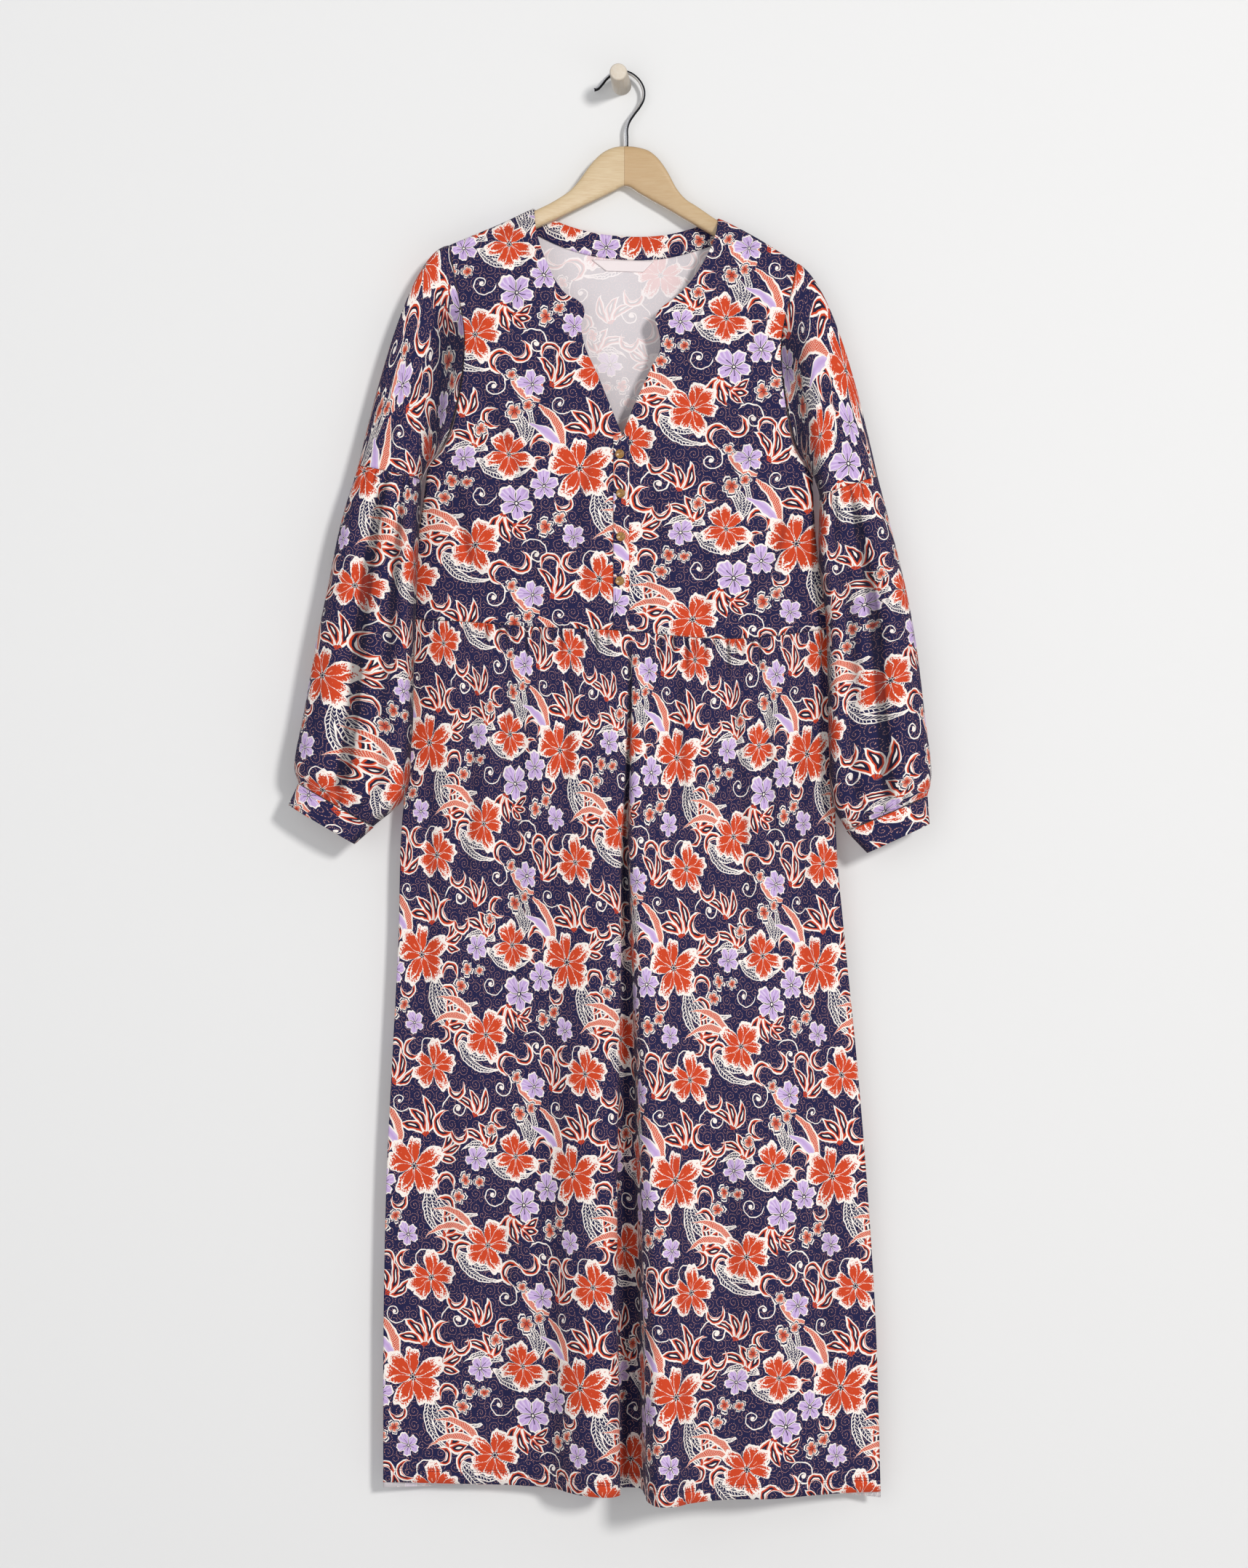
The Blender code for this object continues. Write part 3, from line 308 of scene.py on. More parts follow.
HangerRow = namedtuple("HangerRow", "x top bottom")
HANGER = (
    HangerRow(-185, 182.0, 191.0),
    HangerRow(-182.5, 179.0, 194.0),
    HangerRow(-179, 175.5, 195.0),
    HangerRow(-172, 169.2 + SEAT_GAP, 192.5),
    HangerRow(-150, 159.4 + SEAT_GAP, 181.5),
    HangerRow(-123, 147.0 + SEAT_GAP, 168.0),
    HangerRow(-90, 131.0 + 2 * SEAT_GAP, 152.0),
    HangerRow(-65, 120.0, 140.0),
    HangerRow(-52, 110.5, 133.5),
    HangerRow(-43, 100.0, 129.0),
    HangerRow(-34, 87.0, 124.5),
    HangerRow(-22, 74.0, 118.5),
    HangerRow(-9, 67.0, 112.0),
    HangerRow(5, 65.5, 106.0),
    HangerRow(18, 67.0, 113.5),
    HangerRow(29, 71.0, 120.0),
    HangerRow(38, 79.0, 125.0),
    HangerRow(47, 92.0, 130.0),
    HangerRow(56, 109.0, 135.5),
    HangerRow(65, 120.0, 141.0),
    HangerRow(76, 127.5, 147.5),
    HangerRow(99, 141.0 + 2 * SEAT_GAP, 161.0),
    HangerRow(138, 162.0 + SEAT_GAP, 184.0),
    HangerRow(160, 175.8 + SEAT_GAP, 197.0),
    HangerRow(174, 185.5 + SEAT_GAP, 206.0),
    HangerRow(182, 194.0, 210.0),
    HangerRow(187, 200.0, 211.0),
    HangerRow(190, 203.5, 209.0),
)

HOOK = (
    EdgePoint(5, 65.1),
    EdgePoint(5, 56),
    EdgePoint(5, 47),
    EdgePoint(7, 40),
    EdgePoint(12, 32),
    EdgePoint(18, 24),
    EdgePoint(22, 16),
    EdgePoint(22.5, 8),
    EdgePoint(19.5, 0),
    EdgePoint(14, -6.5),
    EdgePoint(7, -10.8),
    EdgePoint(-0.6, -12),
    EdgePoint(-9, -10.2),
    EdgePoint(-16, -4.8),
    EdgePoint(-21, 1.5),
    EdgePoint(-25, 5.5),
    EdgePoint(-29.5, 7),
)

BUTTONS = (EdgePoint(-2, 386), EdgePoint(-1, 426), EdgePoint(-1, 470), EdgePoint(-2, 515))
LABEL_TOP_LEFT = EdgePoint(-31, 181)
LABEL_TOP_RIGHT = EdgePoint(33, 182.5)
LABEL_BOTTOM_LEFT = EdgePoint(-16, 193)
LABEL_BOTTOM_RIGHT = EdgePoint(22, 194)


# The print, in millimetres: a tile that repeats, its motifs and their colours
TILE_WIDE = 190.0
TILE_TALL = 215.0
TURN_SHARE = 0.1           # what a motif's turn in radians takes in its offset's third number
CURL_CELL = 14.0           # lattice of the dotted curls
CURL_PITCH = 3.3
DOT_STEP = 1.55
DOT_HALF = 0.30
TENDRIL_GROWTH = 4.2       # how much a tendril's curl grows in a turn

Motif = namedtuple("Motif", "x y turn size")
ORANGE_FLOWERS = (
    Motif(0, 0, 0.3, 1.0),
    Motif(-72, 14, 1.1, 0.76),
    Motif(84, -78, 2.0, 0.84),
    Motif(20, 102, -0.8, 0.80),
)
LILAC_FLOWERS = (
    Motif(-64, -36, 0.2, 1.0),
    Motif(-36, -18, 0.9, 0.82),
    Motif(72, 10, 1.7, 0.74),
    Motif(-48, 86, -0.5, 0.78),
    Motif(-6, -70, 0.4, 0.66),
)
SMALL_FLOWERS = (
    Motif(-66, 58, 0.3, 1.0),
    Motif(-52, 64, 1.2, 0.7),
    Motif(-34, -60, 0.7, 0.95),
    Motif(-20, -52, 1.5, 0.8),
    Motif(52, -30, 2.4, 0.85),
    Motif(90, 40, 0.9, 0.8),
    Motif(60, -12, 0.4, 0.8),
    Motif(76, -14, 1.9, 0.65),
    Motif(-69, 95, 1.4, 0.7),
)
PLUME_FANS = (
    Motif(14, 52, 0.1, 1.0),
    Motif(52, -66, 1.4, 0.9),
    Motif(-100, 38, 0.4, 0.85),
    Motif(-14, 92, 1.1, 0.85),
    Motif(-86, -62, -2.6, 0.9),
    Motif(44, 10, 1.9, 0.8),
    Motif(79, 66, 0.6, 0.8),
    Motif(-57, -68, 2.4, 0.7),
)
CRESCENTS = (
    Motif(34, 44, 0.2, 1.0),
    Motif(52, 34, -0.9, 0.8),
    Motif(-38, 24, 2.6, 0.9),
    Motif(36, -40, 3.4, 0.85),
    Motif(56, -86, 1.8, 0.9),
    Motif(-90, 52, 0.6, 0.8),
    Motif(-60, -96, 4.6, 0.85),
    Motif(48, 80, 5.4, 0.8),
    Motif(-30, -96, 2.2, 0.75),
    Motif(-81, -106, 1.2, 0.9),
    Motif(-8, -96, 0.3, 0.8),
    Motif(37, -16, 2.2, 0.8),
    Motif(30, -80, 4.0, 0.7),
    Motif(-16, -36, 5.0, 0.7),
    Motif(-42, 4, 1.0, 0.65),
)
FEATHER_FANS = (
    Motif(14, -52, 3.3, 1.0),
    Motif(74, 36, -0.9, 0.8),
    Motif(66, -112, 2.6, 0.95),
    Motif(-46, 46, 0.5, 0.75),
    Motif(-82, -10, 2.3, 0.85),
)
BLADE_FANS = (
    Motif(-12, 50, 0.15, 1.0),
    Motif(62, -42, -0.3, 0.85),
    Motif(-64, 70, 2.9, 0.7),
)
TENDRILS = (
    Motif(50, 60, 0.4, 1.0),
    Motif(-88, 84, 2.0, 0.9),
    Motif(-44, -88, 1.0, 0.95),
    Motif(90, -26, 3.6, 0.8),
    Motif(14, -92, 5.0, 0.8),
    Motif(-20, 66, 4.1, 0.7),
)

# Leaves that fan out from one foot: their length and half width, the angle between two, the numbers of
# the first and last one, how the fan closes, how the leaves bend, and how far out they are fullest
Leaf = namedtuple("Leaf", "length wide pitch first last spread curl fullness")
FEATHER = Leaf(72, 4.2, 0.27, -1, 1, 0.45, 0.72, 0.8)
PLUME = Leaf(44, 6.4, 0.62, -1, 1, 0.1, 0.85, 1.35)
BLADE = Leaf(76, 5.0, 0.40, -1, 0, 0.4, 0.60, 0.9)


# Shells and trims of the looks, in millimetres
SHELL = 1.0
CUFF_SHELL = 1.6
SKIRT_LONG = 878.0
KNIT_WALE = 1.3
KNIT_COURSE = 1.5
HEM_STITCHES = (12.0, 14.5)     # the stitched lines' heights over the hem
STITCH_HALF = 0.35
STITCH_STEP = 2.6
HOOK_LONG = 190.0
HOOK_KNOB = 2.4                 # length over which the hook's tip rounds off
BUTTON_FACE = 1.55
BAR_ROUNDING = 4.5              # power of the hanger's section
# Painted shade: the cloth is darkened in its folds and on each sleeve beside the body
HOLLOW_REACH = 7.0              # distance to either side over which a fold is told from the open cloth, for the painted fold shade
HOLLOW_DEEP = 2.2
SLEEVE_SHADE = 8.0              # width of the strip of painted shade on a sleeve beside the body
FLOOR = -1.75                   # the floor's height, in metres

Stop = namedtuple("Stop", "out radius")
PEG_PROFILE = (
    Stop(0, 9.8),
    Stop(30, 9.3),
    Stop(57.0, 8.84),
    Stop(58.6, 8.6),
    Stop(59.6, 8.0),
    Stop(60.0, 7.2),
)
BUTTON_PROFILE = (
    Stop(0.0, 0.02),
    Stop(0.0, 4.1),
    Stop(0.5, 4.6),
    Stop(1.6, 4.7),
    Stop(2.1, 4.35),
    Stop(2.1, 3.9),
    Stop(1.65, 3.3),
    Stop(1.5, 0.02),
)

# Soft creases: a line, its width, its depth (a ridge where it is negative) and how it bows
Crease = namedtuple("Crease", "x1 drop1 x2 drop2 width deep bow")
LEFT_CREASES = (
    Crease(-152, 300, -80, 480, 7, 2.6, 6),
    Crease(-185, 410, -118, 548, 7, 3.2, -5),
    Crease(-172, 388, -150, 555, 5, 2.4, 3),
    Crease(-62, 250, -112, 420, 9, 2.0, 4),
    Crease(-26, 330, -58, 530, 6, 2.2, 3),
    Crease(-88, 150, -118, 260, 7, 1.8, -3),
    Crease(-130, 180, -148, 300, 6, -1.6, 2),
    Crease(-90, 460, -84, 562, 6, 1.8, 0),
    Crease(-40, 470, -30, 562, 5, 1.6, 0),
)
RIGHT_CREASES = (
    Crease(154, 310, 82, 490, 7, 2.6, -6),
    Crease(186, 420, 112, 560, 7, 3.2, 5),
    Crease(176, 400, 152, 566, 5, 2.4, -3),
    Crease(60, 260, 104, 410, 9, 2.0, -4),
    Crease(24, 338, 52, 540, 6, 2.2, -3),
    Crease(94, 158, 118, 270, 7, 1.8, 3),
    Crease(134, 190, 150, 310, 6, -1.6, -2),
    Crease(84, 470, 88, 572, 6, 1.8, 0),
    Crease(30, 480, 26, 566, 5, 1.6, 0),
)
BACK_CREASES = (
    Crease(-150, 260, -60, 500, 10, 3.0, 8),
    Crease(-176, 400, -120, 555, 8, 3.0, -5),
    Crease(140, 280, 70, 520, 10, 3.0, -8),
    Crease(180, 410, 118, 560, 8, 3.0, 5),
    Crease(-20, 300, 10, 540, 8, 2.2, 5),
    Crease(60, 180, 96, 330, 8, 2.0, 4),
)
SKIRT_CREASES = (
    Crease(-150, 575, -166, 900, 9, 4.0, 6),
    Crease(-112, 575, -118, 820, 7, 2.6, -3),
    Crease(-95, 600, -106, 1050, 11, 3.6, -6),
    Crease(-52, 580, -60, 760, 6, 2.6, 2),
    Crease(-196, 650, -205, 1100, 9, 2.8, 5),
    Crease(-168, 980, -178, 1440, 12, 3.2, -6),
    Crease(-118, 1120, -126, 1445, 11, 3.0, 5),
    Crease(58, 585, 70, 800, 6, 2.6, -2),
    Crease(112, 585, 132, 1000, 9, 4.0, 6),
    Crease(150, 590, 166, 860, 7, 2.8, -4),
    Crease(186, 640, 206, 1060, 11, 3.0, -6),
    Crease(104, 1010, 122, 1445, 12, 3.4, 5),
    Crease(206, 1050, 224, 1445, 10, 3.0, -4),
)
SKIRT_BACK_CREASES = (
    Crease(-160, 590, -176, 950, 10, 4.0, 8),
    Crease(-110, 590, -130, 1120, 12, 4.4, -8),
    Crease(-20, 590, -26, 860, 8, 3.0, 4),
    Crease(62, 590, 92, 1120, 13, 4.4, -8),
    Crease(140, 590, 160, 980, 10, 4.0, 6),
    Crease(-60, 1000, -70, 1440, 13, 4.0, 6),
    Crease(150, 1080, 166, 1440, 12, 3.6, -6),
)
SLEEVE_LEFT_CREASES = (
    Crease(-186, 210, -226, 372, 7, 2.6, 4),
    Crease(-174, 300, -200, 400, 5, 3.0, -3),
    Crease(-214, 300, -246, 392, 7, 2.0, 3),
    Crease(-222, 425, -234, 640, 6, 4.5, -4),
    Crease(-262, 430, -284, 650, 8, 3.6, 6),
    Crease(-240, 560, -262, 735, 7, 3.4, 5),
    Crease(-296, 560, -316, 700, 7, 3.0, -4),
    Crease(-246, 640, -222, 700, 6, 2.6, 3),
)
SLEEVE_RIGHT_CREASES = (
    Crease(188, 226, 222, 384, 7, 2.6, -4),
    Crease(176, 310, 198, 408, 5, 3.0, 3),
    Crease(208, 300, 240, 402, 7, 2.0, -3),
    Crease(222, 440, 240, 660, 6, 5.0, 4),
    Crease(250, 440, 280, 650, 8, 3.6, -6),
    Crease(236, 580, 262, 745, 7, 3.4, -5),
    Crease(288, 570, 300, 715, 7, 3.0, 4),
)
NO_CREASES = ()

Start = namedtuple("Start", "across down")
SLEEVE_STARTS = {"left": Start(40, 180), "right": Start(120, 95)}
CUFF_LONG = 27.0
CAP_LONG = 150.0
TIER_LONG = 345.0


def through(keys, values, at):
    """Read a smooth curve through a table's rows."""
    keys = np.asarray(keys, float)
    values = np.asarray(values, float)
    at = np.clip(at, keys[0], keys[-1])
    slopes = np.gradient(values, keys)
    row = np.clip(np.searchsorted(keys, at) - 1, 0, len(keys) - 2)
    span = keys[row + 1] - keys[row]
    t = (at - keys[row]) / span
    start = values[row] * (1 + 2 * t) * (1 - t) ** 2 + slopes[row] * span * t * (1 - t) ** 2
    end = values[row + 1] * t * t * (3 - 2 * t) + slopes[row + 1] * span * t * t * (t - 1)
    return start + end


def column(table, name):
    """One named column of a table."""
    return [getattr(row, name) for row in table]


def along(points, share):
    """Points at a share of the length of a smooth path through the given points."""
    points = np.asarray(points, float)
    steps = np.linalg.norm(np.diff(points, axis=0), axis=1)
    keys = np.concatenate(([0.0], np.cumsum(steps)))
    at = np.asarray(share, float) * keys[-1]
    return np.stack([through(keys, points[:, axis], at) for axis in range(points.shape[1])], axis=-1)


def smooth(t):
    """Ease from 0 to 1."""
    t = np.clip(t, 0, 1)
    return t * t * (3 - 2 * t)


def mix(a, b, t):
    """Straight blend from a to b."""
    return a + (b - a) * t


def body(name, drop):
    """A column of the body table at a drop."""
    return through(column(BODY, "drop"), column(BODY, name), drop)


def ridge_drop(x):
    """The line along the top of the shoulders."""
    return through(column(RIDGE, "x"), column(RIDGE, "drop"), x)


def hanger_depth(x):
    """The hanger's middle, whose arms sweep forward."""
    reach = np.abs(x - HANGER_MIDDLE_X) / HANGER_REACH
    return HANGER_MIDDLE_Y - HANGER_SWEEP * reach ** HANGER_SWEEP_POWER


def side_share(x, drop):
    """Flatness of the body's section: 1 over most of the width and 0 at a side seam."""
    left = body("left", drop)
    right = body("right", drop)
    across = np.clip((2 * x - left - right) / (right - left), -1, 1)
    return 1 - np.abs(across) ** SIDE_POWER


def drape(x, drop, length):
    """How far the cloth has come away from the hanger, 0 on the ridge and 1 below."""
    below = np.clip((drop - ridge_drop(x)) / length, 0, 1)
    return 1 - (1 - below) ** 2


def wrap(x, drop):
    """Distance that keeps the cloth off the hanger's rounded edge."""
    below = np.maximum(drop - ridge_drop(x), 0)
    return np.interp(below, column(WRAP, "below"), column(WRAP, "out"))


def front_depth(x, drop):
    """The bodice's front surface."""
    seam = body("seam", drop) - SEAM_HALF
    flat = seam + (body("front", drop) - seam) * side_share(x, drop)
    middle = hanger_depth(x)
    length = mix(DRAPE_NEAR_NECK, DRAPE_AT_TIP, np.clip(np.abs(x) / HANGER_REACH, 0, 1))
    hung = middle + (flat - middle) * drape(x, drop, length)
    return np.minimum(hung, middle - wrap(x, drop))


def back_depth(x, drop):
    """The bodice's back surface."""
    seam = body("seam", drop) + SEAM_HALF
    flat = seam + (body("back", drop) - seam) * side_share(x, drop)
    near_neck = np.exp(-((x - HANGER_MIDDLE_X) / 90) ** 2 - ((drop - 140) / 70) ** 2)
    flat = flat + NECK_PUSH * near_neck
    middle = hanger_depth(x)
    hung = middle + (flat - middle) * drape(x, drop, BACK_DRAPE)
    return np.maximum(hung, middle + wrap(x, drop))


def two_part_edge(upper, lower, v):
    """A bodice edge: the upper path down to the break, then the lower one."""
    if v <= BREAK:
        return along(upper, v / BREAK)
    return along(lower, (v - BREAK) / (1 - BREAK))


def waist_drop(x):
    """The waist seam."""
    return through(column(WAIST, "x"), column(WAIST, "drop"), x)


def side_line(side):
    """Points down a side seam, from the underarm to the waist."""
    top = (ARMHOLE_LEFT if side == "left" else ARMHOLE_RIGHT)[-1].drop
    bottom = float(waist_drop(body(side, WAIST_MIDDLE)))
    drops = np.linspace(top, bottom, 5)
    return np.stack([body(side, drops), drops], axis=-1)


def centre_line(x):
    """Points down the centre front, from the foot of the V to the waist."""
    return np.array([(x, NECK_LEFT[-1].drop), (x, float(waist_drop(x)))])


def coons(u, v, left, right, top, bottom):
    """A patch between four edges; left and right are points at v, top and bottom are paths in u."""
    u = u[:, None]
    across = mix(left, right, u)
    top_bow = top - mix(top[:1], top[-1:], u)
    bottom_bow = bottom - mix(bottom[:1], bottom[-1:], u)
    return across + (1 - v) * top_bow + v * bottom_bow


def edge_rows(make, u):
    """An edge at the given columns, with its two ends added for the patch's bow."""
    return make(np.concatenate(([0.0], u, [1.0])))


def bodice_patch(u, v, left, right, make_top, make_bottom):
    """Bodice points at the columns u of row v, as x and drop."""
    padded = np.concatenate(([0.0], u, [1.0]))
    top = edge_rows(make_top, u)
    bottom = edge_rows(make_bottom, u)
    return coons(padded, v, left, right, top, bottom)[1:-1]


def straight_top(start, end):
    """A shoulder seam, along the ridge."""
    def make(u):
        x = mix(start.x, end.x, u)
        return np.stack([x, ridge_drop(x)], axis=-1)
    return make


def waist_edge(start, end):
    """The bodice's lower edge between two places across."""
    def make(u):
        x = mix(start, end, u)
        return np.stack([x, waist_drop(x)], axis=-1)
    return make


def with_depth(points, depth):
    """Points of x and drop, given their depth: x, y and z."""
    x = points[:, 0]
    drop = points[:, 1]
    return np.stack([x, depth(x, drop), -drop], axis=-1)


def front_left(u, v):
    """Left front, from the armhole to the centre."""
    outer = two_part_edge(ARMHOLE_LEFT, side_line("left"), v)
    edge = CENTRE_X - SEAM_GAP / 2
    inner = two_part_edge(NECK_LEFT, centre_line(edge), v)
    top = straight_top(ARMHOLE_LEFT[0], NECK_LEFT[0])
    bottom = waist_edge(float(body("left", WAIST_MIDDLE)), edge)
    return with_depth(bodice_patch(u, v, outer, inner, top, bottom), front_depth)


def front_right(u, v):
    """Right front, from the centre to the armhole."""
    outer = two_part_edge(ARMHOLE_RIGHT, side_line("right"), v)
    edge = CENTRE_X + SEAM_GAP / 2
    inner = two_part_edge(NECK_RIGHT, centre_line(edge), v)
    top = straight_top(NECK_RIGHT[0], ARMHOLE_RIGHT[0])
    bottom = waist_edge(edge, float(body("right", WAIST_MIDDLE)))
    return with_depth(bodice_patch(u, v, inner, outer, top, bottom), front_depth)


def back_top(u):
    """The back's upper edge: left shoulder, neck and right shoulder."""
    x_left = mix(ARMHOLE_LEFT[0].x, BACK_NECK[0].x, u * 4)
    x_right = mix(BACK_NECK[-1].x, ARMHOLE_RIGHT[0].x, u * 4 - 3)
    neck = along(BACK_NECK, np.clip(u * 2 - 0.5, 0, 1))
    x = np.where(u < 0.25, x_left, np.where(u > 0.75, x_right, neck[:, 0]))
    drop = np.where((u < 0.25) | (u > 0.75), ridge_drop(x), neck[:, 1])
    return np.stack([x, drop], axis=-1)


def back_piece(u, v):
    """Back bodice, from the left armhole to the right one."""
    left = two_part_edge(ARMHOLE_LEFT, side_line("left"), v)
    right = two_part_edge(ARMHOLE_RIGHT, side_line("right"), v)
    bottom = waist_edge(float(body("left", WAIST_MIDDLE)), float(body("right", WAIST_MIDDLE)))
    return with_depth(bodice_patch(u, v, left, right, back_top, bottom), back_depth)


def neck_band(u, v):
    """The strip that lies inside the back neck."""
    top = along(BACK_NECK, mix(BAND_TOP, 1 - BAND_TOP, u))
    bottom = along(BACK_NECK, mix(BAND_BOTTOM, 1 - BAND_BOTTOM, u)) + np.array([0, BAND_TALL])
    lifted = with_depth(mix(top, bottom, v), back_depth)
    lifted[:, 1] -= (CLOTH + TRIM) / 2 + BAND_GAP
    return lifted


def label(u, v):
    """The bare label under the neck band."""
    top = mix(np.array([LABEL_TOP_LEFT]), np.array([LABEL_TOP_RIGHT]), u[:, None])
    bottom = mix(np.array([LABEL_BOTTOM_LEFT]), np.array([LABEL_BOTTOM_RIGHT]), u[:, None])
    lifted = with_depth(mix(top, bottom, v), back_depth)
    lifted[:, 1] -= (CLOTH + TRIM) / 2 + LAYER_GAP
    return lifted


def placket(u, v):
    """The button strip, which lies on the edges of both fronts."""
    x = mix(PLACKET_LEFT, PLACKET_RIGHT, u)
    drop = mix(PLACKET_TOP, waist_drop(x), v)
    lifted = with_depth(np.stack([x, drop], axis=-1), front_depth)
    lifted[:, 1] -= (CLOTH + TRIM) / 2 + LAYER_GAP
    return lifted


def gather(u, v, lines, wide, long):
    """Uneven gathers that run down from a seam: troughs where their depth is positive, in millimetres."""
    total = np.zeros_like(u)
    for line in lines:
        reach = smooth(v * long / 3.0) * (1 - smooth(v * long / line.length))
        total += line.deep * reach * np.exp(-((u - line.at) * wide / line.width) ** 2)
    return total


def gather_lines(groups, wide, step, length, deep, seed):
    """Gathers at uneven steps over groups of shares of a width, each with its own length and depth."""
    luck = np.random.default_rng(seed)
    lines = []
    for group in groups:
        at = group.start
        while at < group.end:
            edge = float(smooth((at - group.start) / 0.04 + 0.3) * smooth((group.end - at) / 0.04 + 0.3))
            lines.append(Gather(at, length * luck.uniform(0.35, 1.5), luck.uniform(1.5, 2.6),
                                deep * edge * luck.uniform(0.5, 1.15)))
            at += step * luck.uniform(0.6, 1.45) / wide
    return lines


def skirt_section(v, folds, depth, seam_shift):
    """The skirt's folds at a share of its length: x and y of each fold row."""
    drop = mix(WAIST_MIDDLE, HEM_MIDDLE, v)
    left = body("left", drop)
    right = body("right", drop)
    waist_x = mix(body("left", WAIST_MIDDLE), body("right", WAIST_MIDDLE), np.array(column(folds, "waist")))
    waist_y = depth(waist_x, waist_drop(waist_x))
    across = mix(np.array(column(folds, "waist")), np.array(column(folds, "hem")), smooth(v / 0.8))
    y = mix(waist_y, np.array(column(folds, "depth"), float), v ** 0.9)
    y[0] = y[-1] = float(body("seam", drop)) + seam_shift
    return np.stack([mix(left, right, across), y], axis=-1)


def skirt(u, v, folds, depth, seam_shift, hem_drop):
    """Skirt points at the columns u of row v, without gathers."""
    plan = along(skirt_section(v, folds, depth, seam_shift), u)
    across = (plan[:, 0] - plan[0, 0]) / (plan[-1, 0] - plan[0, 0])
    top = waist_drop(mix(body("left", WAIST_MIDDLE), body("right", WAIST_MIDDLE), across)) + SEAM_GAP
    bottom = HEM_MIDDLE + HEM_TILT * (across - 0.5) + hem_drop
    return np.stack([plan[:, 0], plan[:, 1], -mix(top, bottom, v)], axis=-1)


def skirt_front(u, v):
    """Skirt front, with the deep centre fold."""
    points = skirt(u, v, FRONT_FOLDS, front_depth, -SEAM_HALF, 0.0)
    points[:, 1] += gather(u, v, FRONT_GATHERS, BODY_WIDE, HEM_MIDDLE - WAIST_MIDDLE)
    return points


def skirt_back(u, v):
    """Skirt back, whose hem hangs a little lower."""
    points = skirt(u, v, BACK_FOLDS, back_depth, SEAM_HALF, BACK_HEM_DROP)
    points[:, 1] -= gather(u, v, BACK_GATHERS, BODY_WIDE, HEM_MIDDLE - WAIST_MIDDLE)
    return points


def sleeve_row(table, v):
    """A sleeve table's columns at a share of its length."""
    keys = column(table, "along")
    return SleeveRow(*(float(through(keys, column(table, name), v)) for name in SleeveRow._fields))


def folded(across, folds, strength):
    """What a sleeve's folds leave of its half depth."""
    cut = sum(f.deep * np.exp(-((across - f.across) / f.width) ** 2) for f in folds)
    return 1 - strength * cut


def ring(u, row, strength):
    """A sleeve's section: column 0 at the inner edge, then the front, the outer edge and the back."""
    angle = 2 * np.pi * u
    across = -np.sign(np.cos(angle)) * np.abs(np.cos(angle)) ** SLEEVE_SQUARENESS
    forward = np.sign(np.sin(angle)) * np.abs(np.sin(angle)) ** SLEEVE_SQUARENESS
    left = np.array([row.inner_x, -row.inner_drop])
    right = np.array([row.outer_x, -row.outer_drop])
    place = mix(left, right, ((across + 1) / 2)[:, None])
    front = folded(across, SLEEVE_FOLDS_FRONT, strength)
    back = folded(across, SLEEVE_FOLDS_BACK, strength) * smooth((across + 1) / SLEEVE_BACK_CLEAR)
    depth = row.middle - row.half * forward * np.where(forward > 0, front, back)
    depth -= SLEEVE_LEAN * (1 - across) / 2 * min(row.half / 20, 1)
    return np.stack([place[:, 0], depth, place[:, 1]], axis=-1)


def lower_sleeve(table):
    """The gathered lower tier, from the tier seam to the cuff."""
    def surface(u, v):
        row = sleeve_row(table, v)
        nearest = min(v, 1 - v)
        points = ring(u, row, smooth(nearest / FOLD_START))
        lines = TIER_GATHERS if v < 0.5 else CUFF_GATHERS
        pressed = gather(u, nearest, lines, 2 * SLEEVE_ROUND, TIER_LONG)
        points[:, 1] += np.where(u < 0.5, 1, -1) * pressed * np.abs(np.sin(2 * np.pi * u)) ** 0.4
        points[:, 2] -= SEAM_GAP * (1 - v)
        return points
    return surface


def armhole_ring(u, path, side):
    """The armhole seam as a ring that matches a sleeve's columns."""
    share = np.abs(2 * u - 1)
    flat = along(path, share)
    gap = mix(SLEEVE_GAP, UNDERARM_GAP, smooth((share - GAP_GROWS) / (1 - GAP_GROWS)))
    y = np.where(u < 0.5, front_depth(flat[:, 0], flat[:, 1]), back_depth(flat[:, 0], flat[:, 1]))
    y = np.where(share < 1e-6, hanger_depth(flat[:, 0]), y)
    y = mix(y, body("seam", flat[:, 1]), smooth((share - UNDERARM_CLOSES) / (1 - UNDERARM_CLOSES)))
    return np.stack([flat[:, 0] + side * gap, y, -flat[:, 1]], axis=-1)


def upper_sleeve(table, path, head, side):
    """The cap piece, from the armhole to the tier seam."""
    def surface(u, v):
        start = armhole_ring(u, path, side)
        end = ring(u + CAP_TURN * np.sin(2 * np.pi * u), sleeve_row(table, 0.0), 0.0)
        crown = np.sin(np.pi * u) ** 2
        bulge = np.stack([head.x * crown, -HEAD_FORWARD * np.sin(2 * np.pi * u), -head.drop * crown], axis=-1)
        middle = (start + end) / 2 + bulge
        return start * (1 - v) ** 2 + 2 * middle * v * (1 - v) + end * v * v
    return surface


def cuff(table, end_row):
    """A cuff band."""
    def surface(u, v):
        start = sleeve_row(table, 1.0)
        row = SleeveRow(*(mix(a, b, v) for a, b in zip(start, end_row)))
        points = ring(u, row, 0.0)
        points[:, 2] -= CUFF_GAP * (1 - v)
        return points
    return surface


